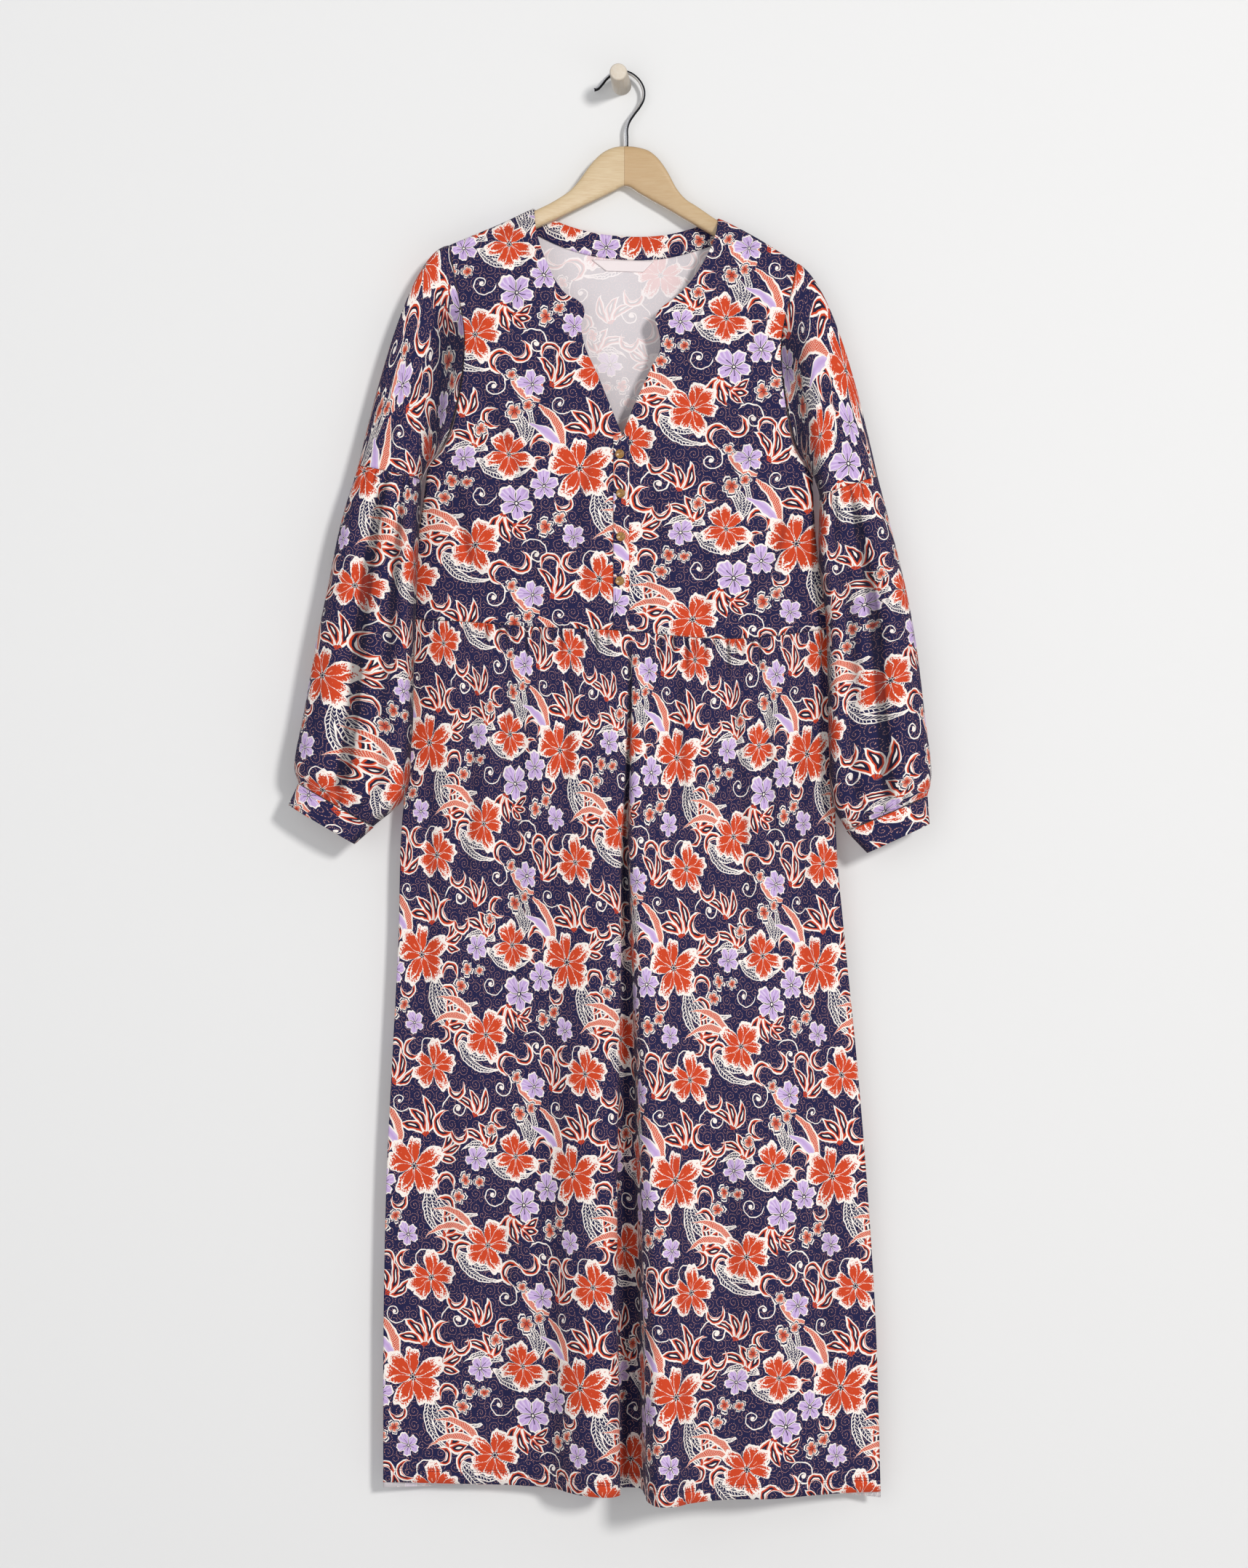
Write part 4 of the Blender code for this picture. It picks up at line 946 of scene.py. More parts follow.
class Wire:
    """A socket or a number in a formula of nodes; arithmetic on it adds Math nodes."""

    def __init__(self, tree, socket):
        self.tree = tree
        self.socket = socket

    def calc(self, operation, *others):
        """A Math node with this wire first."""
        return add_node(self.tree, "ShaderNodeMath", self, *others, operation=operation)

    def vector(self, operation, *others, out=0):
        """A Vector Math node with this wire first."""
        return add_node(self.tree, "ShaderNodeVectorMath", self, *others, out=out, operation=operation)

    def __add__(self, other):
        return self.calc("ADD", other)

    def __sub__(self, other):
        return self.calc("SUBTRACT", other)

    def __mul__(self, other):
        return self.calc("MULTIPLY", other)

    def __truediv__(self, other):
        return self.calc("DIVIDE", other)

    def __lt__(self, other):
        return self.calc("LESS_THAN", other)

    def __gt__(self, other):
        return self.calc("GREATER_THAN", other)

    def ramp(self, low, high):
        """0 below low and 1 above high."""
        span = 1 / (high - low)
        return add_node(self.tree, "ShaderNodeMath", self, span, -low * span, operation="MULTIPLY_ADD",
                        use_clamp=True)

    def parts(self):
        """The x, y and z of a vector."""
        split = self.tree.nodes.new("ShaderNodeSeparateXYZ")
        self.tree.links.new(self.socket, split.inputs[0])
        return [Wire(self.tree, socket) for socket in split.outputs]


def add_node(tree, kind, *values, out=0, **settings):
    """Add a node, set it up, link or fill its inputs, and return one output as a Wire."""
    made = tree.nodes.new(kind)
    for name, value in settings.items():
        setattr(made, name, value)
    for socket, value in zip(made.inputs, values):
        if isinstance(value, Wire):
            tree.links.new(value.socket, socket)
        elif value is not None:
            socket.default_value = value
    return Wire(tree, made.outputs[out])


def colour(text):
    """Linear RGBA of an sRGB hex colour."""
    channels = [int(text[i:i + 2], 16) / 255 for i in (1, 3, 5)]
    return tuple(c / 12.92 if c <= 0.04045 else ((c + 0.055) / 1.055) ** 2.4 for c in channels) + (1.0,)


GROUND = colour("#202047")
PEACH_DOT = colour("#B98A84")
CREAM = colour("#FBF2EA")
ORANGE = colour("#CE4522")
DEEP = colour("#B93A22")
PINK = colour("#EE9E86")
PALE_PINK = colour("#F4C4B2")
LILAC = colour("#C3A6D8")
PALE_LILAC = colour("#DCC9E8")
DARK = colour("#1E1B33")
# Near black for the painted shade in folds and beside the body, and for a faint random mottle
MOTTLE_AND_PAINTED_SHADE = colour("#0E0D1C")
REVERSE_GROUND = colour("#F8F1F2")
BEECH_PALE = colour("#D2BD98")
BEECH_DARK = colour("#B28A58")
DARK_WOOD = colour("#6E4B2C")
PEG_PALE = colour("#D8CFC1")
PEG_DARK = colour("#C8B597")
CHROME = colour("#F0F0F2")
CHROME_PAINTED_REFLECTION = colour("#1C1D20")
HORN_PALE = colour("#AC7C34")
HORN_DARK = colour("#5C3C17")
LABEL_TINT = colour("#EDE2E2")
WALL_TINT = colour("#E4E4E3")

FRONT_GATHERS = gather_lines(FRONT_GROUPS, BODY_WIDE, 10.0, 36, 5.0, 5)
BACK_GATHERS = gather_lines(BACK_GROUPS, BODY_WIDE, 12, 34, 4.6, 8)
TIER_GATHERS = gather_lines(SLEEVE_GROUPS, SLEEVE_ROUND * 2, 9.0, 28, 3.6, 11)
CUFF_GATHERS = gather_lines(SLEEVE_GROUPS, SLEEVE_ROUND * 2, 8.0, 26, 3.4, 17)


def paint(tree, mask, below, above):
    """One colour over another where the mask is 1."""
    made = tree.nodes.new("ShaderNodeMix")
    made.data_type = "RGBA"
    for socket, value in ((made.inputs[0], mask), (made.inputs[6], below), (made.inputs[7], above)):
        if isinstance(value, Wire):
            tree.links.new(value.socket, socket)
        else:
            socket.default_value = value
    return Wire(tree, made.outputs[2])


def nearest(tree, point, motifs):
    """Offset from the nearest motif of a table, as x, y and turn, in units of the motif's size."""
    best = None
    for motif in motifs:
        start = (motif.x, motif.y, -motif.turn * TURN_SHARE * motif.size)
        offset = point.vector("SUBTRACT", start)
        offset = offset.vector("WRAP", (TILE_WIDE / 2, TILE_TALL / 2, 1), (-TILE_WIDE / 2, -TILE_TALL / 2, -1))
        offset = offset.vector("MULTIPLY", (1 / motif.size,) * 3)
        away = offset.vector("LENGTH", out=1)
        if best is None:
            best, least = offset, away
            continue
        closer = away < least
        choice = tree.nodes.new("ShaderNodeMix")
        choice.data_type = "VECTOR"
        for index, wire in ((0, closer), (4, best), (5, offset)):
            tree.links.new(wire.socket, choice.inputs[index])
        best = Wire(tree, choice.outputs[1])
        least = least.calc("MINIMUM", away)
    x, y, turn = best.parts()
    return x, y, turn / TURN_SHARE


def petals(tree, x, y, turn, count, reach, narrow, seed):
    """A flower's rings: distance out in petal lengths, place across a petal, and the petal's luck."""
    angle = y.calc("ARCTAN2", x) + turn
    share = angle * (count / (2 * math.pi))
    index = share.calc("ROUND").calc("FLOORED_MODULO", count)
    luck = add_node(tree, "ShaderNodeTexWhiteNoise", None, index + seed, noise_dimensions="1D")
    off = share.calc("PINGPONG", 0.5) * 2
    away = (x * x + y * y).calc("SQRT")
    shape = off.calc("POWER", luck * 2.0 + 1.5) * narrow
    scallop = (off * 11 + luck * 9).calc("SINE") * 0.035
    longest = (luck * 0.30 + 0.72 - shape + scallop).calc("MAXIMUM", 0.03) * reach
    return away / longest, off, away, angle, luck


def fan(tree, x, y, turn, shape):
    """Leaves from one foot: place across one (0 middle, 1 edge), along it, and distances in mm."""
    combined = add_node(tree, "ShaderNodeCombineXYZ", x, y)
    turned = add_node(tree, "ShaderNodeVectorRotate", combined, None, None, turn, rotation_type="Z_AXIS")
    x, y, _ = turned.parts()
    y = y + shape.length / 2
    away = (x * x + y * y).calc("SQRT")
    angle = x.calc("ARCTAN2", y) / (away * (shape.spread / shape.length) + 1) + away * (shape.curl / shape.length)
    share = angle / shape.pitch
    index = share.calc("ROUND").calc("MINIMUM", shape.last).calc("MAXIMUM", shape.first)
    luck = add_node(tree, "ShaderNodeTexWhiteNoise", None, index + turn, noise_dimensions="1D")
    across = ((share - index) * shape.pitch * away).calc("ABSOLUTE")
    along_leaf = away / ((luck * 0.45 + 0.55) * shape.length)
    half = (along_leaf.calc("POWER", shape.fullness) * math.pi).calc("SINE") * (along_leaf < 1) * shape.wide + 0.01
    return across / half, along_leaf, across, away, half, luck


def ground(tree, point):
    """Navy with curls of peach dots on two staggered lattices."""
    result = GROUND
    for shift, reach in ((0.0, 0.45), (0.5, 0.30)):
        cell = point.vector("MULTIPLY", (1 / CURL_CELL,) * 3).vector("ADD", (shift, shift, 0))
        corner = cell.vector("FLOOR")
        luck = add_node(tree, "ShaderNodeTexWhiteNoise", corner, noise_dimensions="2D")
        x, y, _ = cell.vector("SUBTRACT", corner).vector("SUBTRACT", (0.5, 0.5, 0)).parts()
        away = (x * x + y * y).calc("SQRT") * CURL_CELL
        swing = (luck > 0.5) * 2 - 1
        angle = (y.calc("ARCTAN2", x) * swing + luck * 50) / (2 * math.pi)
        ring_place = away / CURL_PITCH - angle
        turn_index = ring_place.calc("FLOOR")
        off = (ring_place - turn_index - 0.5).calc("ABSOLUTE") * CURL_PITCH
        dots = ((turn_index + angle + 0.5) * (CURL_PITCH * 2 * math.pi / DOT_STEP)).calc("ROUND")
        dotted = (angle * dots).calc("FRACT") < 0.52
        mask = (off < DOT_HALF) * dotted * (away < reach * CURL_CELL)
        result = paint(tree, mask, result, PEACH_DOT)
    return result


def tendrils(tree, point, below):
    """Thin cream curls with a round end."""
    x, y, turn = nearest(tree, point, TENDRILS)
    away = (x * x + y * y).calc("SQRT") + 0.01
    angle = (y.calc("ARCTAN2", x) + turn) / (2 * math.pi)
    arm = away.calc("LOGARITHM", TENDRIL_GROWTH) - angle
    off = (arm.calc("FRACT") - 0.5).calc("ABSOLUTE") * away * math.log(TENDRIL_GROWTH)
    mask = (off < 0.68) * (away < 19) * (away > 1.7)
    knob = away < 2.3
    return paint(tree, mask.calc("MAXIMUM", knob), below, CREAM)


def feathers(tree, point, below):
    """Fans of long curved leaves with a midrib and slanted barbs."""
    x, y, turn = nearest(tree, point, FEATHER_FANS)
    edge, along_leaf, across, away, half, luck = fan(tree, x, y, turn, FEATHER)
    barbs = ((away * 0.30 - across * 0.36).calc("FRACT") < 0.22) * (across < half * 0.66)
    lines = ((half - across) < 1.15).calc("MAXIMUM", across < 0.40).calc("MAXIMUM", barbs)
    return paint(tree, edge < 1, below, paint(tree, lines, GROUND, CREAM))


def banded(tree, depth, heart):
    """The plumes' bands, by the depth in mm from their edge: cream, pink, orange, a dark line, a heart."""
    tint = paint(tree, depth.ramp(1.4, 2.4), CREAM, PINK)
    tint = paint(tree, depth > 2.1, tint, ORANGE)
    tint = paint(tree, depth > 3.7, tint, DARK)
    return paint(tree, depth > heart, tint, CREAM)


def plumes(tree, point, below):
    """Sprays of small drops with a dark and cream heart."""
    x, y, turn = nearest(tree, point, PLUME_FANS)
    edge, along_leaf, across, away, half, luck = fan(tree, x, y, turn, PLUME)
    tint = banded(tree, (half - across) * 1.15, 6.2)
    tint = paint(tree, along_leaf < 0.16, tint, ORANGE)
    return paint(tree, edge < 1, below, tint)


def crescents(tree, point, below):
    """Curled crescents, banded from their outer edge inwards."""
    x, y, turn = nearest(tree, point, CRESCENTS)
    combined = add_node(tree, "ShaderNodeCombineXYZ", x, y)
    turned = add_node(tree, "ShaderNodeVectorRotate", combined, None, None, turn, rotation_type="Z_AXIS")
    outer = turned.vector("LENGTH", out=1)
    inner = turned.vector("SUBTRACT", (4.6, 3.6, 0)).vector("LENGTH", out=1) - 10.3
    tint = banded(tree, outer * -1 + 14, 5.8)
    tint = paint(tree, inner < 1.5, tint, paint(tree, inner < 0.6, ORANGE, CREAM))
    inside = (outer < 14) * (inner > 0)
    return paint(tree, inside, below, tint)


def blades(tree, point, below):
    """Fans of long pointed blades, lilac or stippled orange, with pale edges."""
    x, y, turn = nearest(tree, point, BLADE_FANS)
    edge, along_leaf, across, away, half, luck = fan(tree, x, y, turn, BLADE)
    stipple = ((away * 2.9).calc("SINE") * (across * 3.1).calc("COSINE")) > -0.15
    warm = paint(tree, stipple * (edge < 0.60), PALE_PINK, ORANGE)
    cool = paint(tree, edge.ramp(0.15, 0.85), LILAC, PALE_LILAC)
    tint = paint(tree, luck > 0.52, cool, warm)
    tint = paint(tree, edge > 0.72, tint, CREAM)
    return paint(tree, edge < 1, below, tint)


def small_flowers(tree, point, below):
    """Small flowers: a cream outline, a dark ring and a warm heart."""
    x, y, turn = nearest(tree, point, SMALL_FLOWERS)
    edge, off, away, angle, luck = petals(tree, x, y, turn, 5, 12.0, 0.42, 11)
    tint = paint(tree, edge.ramp(0.15, 0.60), DEEP, PINK)
    tint = paint(tree, edge > 0.60, tint, CREAM)
    tint = paint(tree, edge > 0.71, tint, GROUND)
    tint = paint(tree, edge > 0.86, tint, CREAM)
    seam = ((off * -1 + 1) * away * 0.63) < 0.35
    tint = paint(tree, seam * (edge < 0.72), tint, DARK)
    tint = paint(tree, away < 1.5, tint, DEEP)
    return paint(tree, edge < 1, below, tint)


def lilac_flowers(tree, point, below):
    """Lilac flowers with streaked petals, dark veins and pale edges."""
    x, y, turn = nearest(tree, point, LILAC_FLOWERS)
    edge, off, away, angle, luck = petals(tree, x, y, turn, 5, 22.5, 0.36, 23)
    streak = (off * 13 + luck * 5).calc("COSINE").ramp(0.0, 0.9) * edge.ramp(0.30, 0.66)
    tint = paint(tree, streak, LILAC, PALE_LILAC)
    tint = paint(tree, edge.ramp(0.86, 0.93), tint, CREAM)
    vein = ((off * away * 0.63) < 0.38) * (edge < 0.50)
    side = (off * -1 + 1) * away * 0.63
    tint = paint(tree, side < 0.9, tint, CREAM)
    tint = paint(tree, ((side < 0.42) * (edge < 0.90)).calc("MAXIMUM", vein), tint, DARK)
    tint = paint(tree, away < 2.4, tint, DARK)
    tint = paint(tree, away < 1.3, tint, CREAM)
    return paint(tree, edge < 1, below, tint)


def orange_layer(tree, x, y, turn, count, reach, narrow, seed, below):
    """One ring of a big flower's petals."""
    edge, off, away, angle, luck = petals(tree, x, y, turn, count, reach, narrow, seed)
    cells = add_node(tree, "ShaderNodeTexVoronoi", add_node(tree, "ShaderNodeCombineXYZ", x, y, luck),
                     None, 0.62, voronoi_dimensions="2D")
    stipple = cells < (edge + luck * 0.14).ramp(0.70, 1.02) * -0.80 + 0.95
    outer = paint(tree, edge.ramp(0.68, 0.86), PINK, CREAM)
    tint = paint(tree, stipple, outer, ORANGE)
    tint = paint(tree, edge > 0.92, tint, CREAM)
    glint = (off * away * (math.pi / count) < 0.5) * (edge > 0.28) * (edge < 0.42) * (luck > 0.45)
    tint = paint(tree, glint, tint, PINK)
    side = (off * -1 + 1) * away * (math.pi / count)
    dash = (away * 2.3).calc("SINE") > -0.5
    tint = paint(tree, side < 1.0, tint, CREAM)
    tint = paint(tree, (side < 0.48) * dash, tint, DARK)
    return paint(tree, edge < 1, below, tint)


def orange_flowers(tree, point, below):
    """The big flowers: two rings of petals and a dark star with cream dots."""
    x, y, turn = nearest(tree, point, ORANGE_FLOWERS)
    below = orange_layer(tree, x, y, turn + 0.5, 5, 39, 0.80, 31, below)
    below = orange_layer(tree, x, y, turn, 7, 36, 0.88, 47, below)
    away = (x * x + y * y).calc("SQRT")
    star = (y.calc("ARCTAN2", x) * 7).calc("COSINE") * 1.0 + 2.9
    below = paint(tree, away < star, below, DARK)
    dots = ((y.calc("ARCTAN2", x) * 8).calc("SINE") > 0.3) * (away > 1.4) * (away < 2.3)
    return paint(tree, dots, below, CREAM)


def print_group():
    """The whole print as a node group, from a place on the cloth in metres to its colour."""
    tree = bpy.data.node_groups.new("flower_print", "ShaderNodeTree")
    tree.interface.new_socket("Place", in_out="INPUT", socket_type="NodeSocketVector")
    tree.interface.new_socket("Color", in_out="OUTPUT", socket_type="NodeSocketColor")
    start = tree.nodes.new("NodeGroupInput")
    end = tree.nodes.new("NodeGroupOutput")
    point = Wire(tree, start.outputs[0]).vector("MULTIPLY", (1 / MM, 1 / MM, 0))
    uneven = add_node(tree, "ShaderNodeTexNoise", point, None, 0.12, 1.0, out=1)
    point = uneven.vector("SUBTRACT", (0.5, 0.5, 0.5)).vector("MULTIPLY_ADD", (3.6, 3.6, 0), point)
    tint = ground(tree, point)
    for draw in (tendrils, feathers, plumes, crescents, blades, small_flowers, lilac_flowers, orange_flowers):
        tint = draw(tree, point, tint)
    tree.links.new(tint.socket, end.inputs[0])
    return tree


def new_material(name):
    """A material with its tree and Principled shader."""
    made = bpy.data.materials.new(name)
    made.use_nodes = True
    return made, made.node_tree, made.node_tree.nodes["Principled BSDF"]


def set_shader(shader, **values):
    """Set the shader's sockets, with underscores for spaces in their names."""
    for name, value in values.items():
        shader.inputs[name.replace("_", " ")].default_value = value


def add_bump(tree, shader, height, distance):
    """Bump from a height wire, in metres."""
    bump = add_node(tree, "ShaderNodeBump", None, distance)
    tree.links.new(height.socket, bump.socket.node.inputs["Height"])
    tree.links.new(bump.socket, shader.inputs["Normal"])


def jersey(name, group, washed):
    """Printed viscose jersey: matt, with a fine knit, a faint random mottle and painted shade in folds and beside
    the body; washed is how pale the print is on this side.
    """
    made, tree, shader = new_material(name)
    place = add_node(tree, "ShaderNodeUVMap", uv_map="cloth_map")
    drawn = tree.nodes.new("ShaderNodeGroup")
    drawn.node_tree = group
    tree.links.new(place.socket, drawn.inputs[0])
    tint = Wire(tree, drawn.outputs[0])
    across, down, _ = place.parts()
    if washed:
        tint = paint(tree, washed, tint, REVERSE_GROUND)
    from_hem = add_node(tree, "ShaderNodeAttribute", out=2, attribute_name="from_hem")
    stitched = None
    for height in HEM_STITCHES:
        line = (from_hem - height * MM).calc("ABSOLUTE") < STITCH_HALF * MM
        stitched = line if stitched is None else stitched.calc("MAXIMUM", line)
    stitched = stitched * ((across * (1 / (STITCH_STEP * MM))).calc("FRACT") < 0.75)
    tint = paint(tree, stitched * 0.7, tint, DARK)
    # A faint random mottle, then painted shade where the cloth lies in a fold or on a sleeve beside the body,
    # weaker on the pale reverse
    uneven = add_node(tree, "ShaderNodeTexNoise", place, None, 40.0)
    painted_shade = add_node(tree, "ShaderNodeAttribute", out=2, attribute_name="painted_shade")
    tint = paint(tree, uneven * 0.08 + painted_shade * (0.30 if washed else 0.62), tint, MOTTLE_AND_PAINTED_SHADE)
    tree.links.new(tint.socket, shader.inputs["Base Color"])
    rib = (across * (2 * math.pi / (KNIT_WALE * MM))).calc("SINE")
    course = (down * (2 * math.pi / (KNIT_COURSE * MM))).calc("SINE")
    add_bump(tree, shader, rib * course - stitched, 0.00004)
    set_shader(shader, Roughness=0.85, Specular_IOR_Level=0.18, Sheen_Weight=0.05, Sheen_Roughness=0.5)
    return made


def wood(name, pale, dark, grain, roughness, joint=None):
    """Wood with long grain along X (or Y for the peg); right of a joint, painted shade darkens the arm that turns
    from the light, and a thin dark line marks the joint.
    """
    made, tree, shader = new_material(name)
    place = add_node(tree, "ShaderNodeTexCoord", out=3)
    stretched = place.vector("MULTIPLY", grain)
    fibre = add_node(tree, "ShaderNodeTexNoise", stretched, None, 1.0, 6.0, 0.6)
    tint = paint(tree, fibre.ramp(0.30, 0.80) * 0.55, pale, dark)
    if joint is not None:
        x, _, _ = place.parts()
        # Painted shade: the arm right of the joint is darker, most of all near the joint, as it turns from the
        # light; the thin dark line is the joint itself
        shade_near_joint = (x > joint) * ((x - joint) * -12 + 1).ramp(0.0, 1.0)
        tint = paint(tree, (x > joint) * 0.30 + shade_near_joint * 0.25, tint, dark)
        tint = paint(tree, ((x - joint).calc("ABSOLUTE") < 0.0003) * 0.35, tint, DARK_WOOD)
    tree.links.new(tint.socket, shader.inputs["Base Color"])
    add_bump(tree, shader, fibre, 0.0002)
    set_shader(shader, Roughness=roughness, Coat_Weight=0.35 if joint is not None else 0.0, Coat_Roughness=0.2)
    return made


def chrome():
    """Polished chrome wire with faint smudges, and a painted dark reflection of the room along one side."""
    made, tree, shader = new_material("chromed_wire")
    place = add_node(tree, "ShaderNodeTexCoord", out=3)
    smudge = add_node(tree, "ShaderNodeTexNoise", place, None, 300.0)
    tree.links.new((smudge * 0.15 + 0.22).socket, shader.inputs["Roughness"])
    side, _, _ = add_node(tree, "ShaderNodeTexCoord", out=1).parts()
    # Painted dark reflection down most of the wire's right side, pale again at its very edge
    tint = paint(tree, side.ramp(-0.25, 0.05) * (side < 0.88), CHROME, CHROME_PAINTED_REFLECTION)
    tree.links.new(tint.socket, shader.inputs["Base Color"])
    set_shader(shader, Metallic=0.85)
    return made


def horn():
    """Tan and brown horn-look resin, mottled, with a darker rim."""
    made, tree, shader = new_material("brown_horn")
    place = add_node(tree, "ShaderNodeTexCoord", out=3)
    cloud = add_node(tree, "ShaderNodeTexNoise", place.vector("MULTIPLY", (500, 500, 900)), None, 1.0, 4.0)
    _, facing, _ = add_node(tree, "ShaderNodeTexCoord", out=1).parts()
    rim = facing.ramp(-0.92, -0.70)
    tint = paint(tree, cloud.ramp(0.40, 0.72).calc("MAXIMUM", rim), HORN_PALE, HORN_DARK)
    tree.links.new(tint.socket, shader.inputs["Base Color"])
    set_shader(shader, Roughness=0.3, Coat_Weight=0.3)
    return made


def satin():
    """Bare label satin: pale pink-white, a fine twill."""
    made, tree, shader = new_material("label_satin")
    place = add_node(tree, "ShaderNodeTexCoord", out=3)
    x, _, z = place.parts()
    twill = ((x + z) * 6000).calc("SINE")
    add_bump(tree, shader, twill, 0.00003)
    set_shader(shader, Base_Color=LABEL_TINT, Roughness=0.45, Sheen_Weight=0.2)
    return made


def plain(name, tint, roughness):
    """A plain finish for thread and for the stage."""
    made, tree, shader = new_material(name)
    set_shader(shader, Base_Color=tint, Roughness=roughness)
    return made


def painted_shade_depths(u, points, tube, outward):
    """Painted shade for each point of a row: how far it lies in a fold, or on a sleeve beside the body: 0 open, 1
    deep.
    """
    step = np.linalg.norm(np.diff(points, axis=0), axis=1).mean()
    reach = max(int(round(HOLLOW_REACH / step)), 1)
    depth = points[:, 1]
    padded = np.pad(depth, reach, mode="edge")
    around = np.convolve(padded, np.full(2 * reach + 1, 1 / (2 * reach + 1)), mode="valid")
    inward = np.sin(2 * np.pi * u) * 1.2 if tube else (1 if outward else -1)
    folds = np.clip((depth - around) * inward / HOLLOW_DEEP, 0, 1)
    if not tube:
        return folds
    from_body = np.abs(points[:, 0]) - np.abs(points[:, 0]).min()
    return np.maximum(folds, np.clip(1 - from_body / SLEEVE_SHADE, 0, 1))


def shell(name, surface, size, ease, cloth_place, outward, materials, wall=SHELL, hem=None, tube=False):
    """A cloth piece: a grid over the unit square put on its surface, with its place on the cloth as UV."""
    columns, rows = size
    grid = bmesh.new()
    bmesh.ops.create_grid(grid, x_segments=columns, y_segments=rows, size=0.5)
    placed = grid.verts.layers.float_vector.new("place")
    from_hem = grid.verts.layers.float.new("from_hem")
    # How deep each point lies in a fold or beside the body, which the jersey paints as shade
    painted_shade = grid.verts.layers.float.new("painted_shade")
    lines = {}
    for vertex in grid.verts:
        lines.setdefault(round((vertex.co.y + 0.5) * rows), []).append(vertex)
    for line, vertices in lines.items():
        vertices.sort(key=lambda vertex: vertex.co.x)
        u = np.linspace(0, 1, columns + 1)
        v = (line / rows) ** ease
        points = surface(u, v)
        across, down = cloth_place(u, v, points)
        folds = painted_shade_depths(u, points, tube, outward)
        for index, vertex in enumerate(vertices):
            vertex.co = points[index] * MM
            vertex[placed] = (across[index] * MM, down[index] * MM, 0)
            vertex[from_hem] = hem(v) * MM if hem else 1.0
            vertex[painted_shade] = folds[index]
    if outward:
        bmesh.ops.reverse_faces(grid, faces=grid.faces)
    uv = grid.loops.layers.uv.new("cloth_map")
    for face in grid.faces:
        for loop in face.loops:
            loop[uv].uv = loop.vert[placed].xy
    bmesh.ops.remove_doubles(grid, verts=grid.verts, dist=1e-6)
    piece = finish_piece(name, grid, materials)
    solid = piece.modifiers.new("wall", "SOLIDIFY")
    solid.thickness = wall * MM
    solid.offset = 0.0
    solid.material_offset = len(materials) - 1
    solid.material_offset_rim = 0
    return piece


def finish_piece(name, grid, materials):
    """Turn a bmesh into a smooth linked piece that rides on the body."""
    mesh = bpy.data.meshes.new(name)
    grid.to_mesh(mesh)
    grid.free()
    mesh.shade_smooth()
    for material in materials:
        mesh.materials.append(material)
    piece = bpy.data.objects.new(name, mesh)
    bpy.context.scene.collection.objects.link(piece)
    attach(piece, "root")
    return piece


def creased(surface, creases, inward):
    """A surface with soft troughs along lines; a negative depth makes a ridge."""
    def with_creases(u, v):
        points = surface(u, v)
        x = points[:, 0]
        drop = -points[:, 2]
        for line in creases:
            step = np.array([line.x2 - line.x1, line.drop2 - line.drop1], float)
            length = np.hypot(*step)
            along_line = ((x - line.x1) * step[0] + (drop - line.drop1) * step[1]) / length ** 2
            aside = ((x - line.x1) * step[1] - (drop - line.drop1) * step[0]) / length
            aside = aside - line.bow * np.sin(math.pi * np.clip(along_line, 0, 1))
            reach = smooth(along_line / 0.22) * smooth((1 - along_line) / 0.45)
            points[:, 1] += inward * line.deep * reach * np.exp(-(aside / line.width) ** 2)
        return points
    return with_creases


def creased_tube(surface, creases):
    """A sleeve with the creases pressed into its front and its back."""
    def with_creases(u, v):
        points = surface(u, v)
        pressed = creased(lambda u, v: points.copy(), creases, 1)(u, v)[:, 1] - points[:, 1]
        points[:, 1] += pressed * np.where(u < 0.5, 1, -1) * np.abs(np.sin(2 * np.pi * u)) ** 0.5
        return points
    return with_creases


def flat_place(dx, drop, mirror=1):
    """The place on the cloth of a piece that hangs flat: its x and z, moved to its own start."""
    def place(u, v, points):
        return mirror * (points[:, 0] - dx), points[:, 2] + drop
    return place


def wound_place(width, length, start_across, start_down, mirror=1):
    """The place on the cloth by shares of its cut width and length."""
    def place(u, v, points):
        return mirror * (u * width - start_across), np.full_like(u, start_down - v * length)
    return place


def path_length(surface, v):
    """Length of a surface's row, in millimetres."""
    points = surface(np.linspace(0, 1, 400), v)
    return float(np.linalg.norm(np.diff(points, axis=0), axis=1).sum())


def near_band(u, v):
    """The neck band, out to the fronts' edges and close on the back."""
    top = along(BACK_NECK, mix(0.02, 0.98, u))
    bottom = along(BACK_NECK, mix(0.0, 1.0, u)) + np.array([0, BAND_TALL])
    lifted = with_depth(mix(top, bottom, v), back_depth)
    lifted[:, 1] -= SHELL + 2 * LAYER_GAP
    return lifted


def make_bodice(outside, inside):
    """Both fronts, the back, the neck band and the placket."""
    both = [outside, inside]
    left = shell("bodice_front_left", creased(front_left, LEFT_CREASES, 1), (70, 110), 1.35,
                 flat_place(-43, 400), True, both)
    right = shell("bodice_front_right", creased(front_right, RIGHT_CREASES, 1), (70, 110), 1.35,
                  flat_place(178, 476), True, both)
    back = shell("bodice_back", creased(back_piece, BACK_CREASES, -1), (120, 110), 1.35,
                 flat_place(60, 300, -1), False, both)
    band = shell("neck_band", near_band, (90, 8), 1.0, flat_place(20, 150), True, [outside, outside], wall=TRIM)
    strip = shell("button_strip", placket, (8, 60), 1.0, flat_place(30, 520), True, [outside, outside], wall=TRIM)
    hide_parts("front_bodice_left")
    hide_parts("front_bodice_right")
    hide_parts("back_bodice")
    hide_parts("back_neck_band")
    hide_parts("placket")


def make_label(finish):
    """The bare label, sewn under the neck band."""
    tag = shell("bare_label", label, (24, 8), 1.0, flat_place(0, 180), True, [finish], wall=TRIM)
    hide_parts("neck_label")


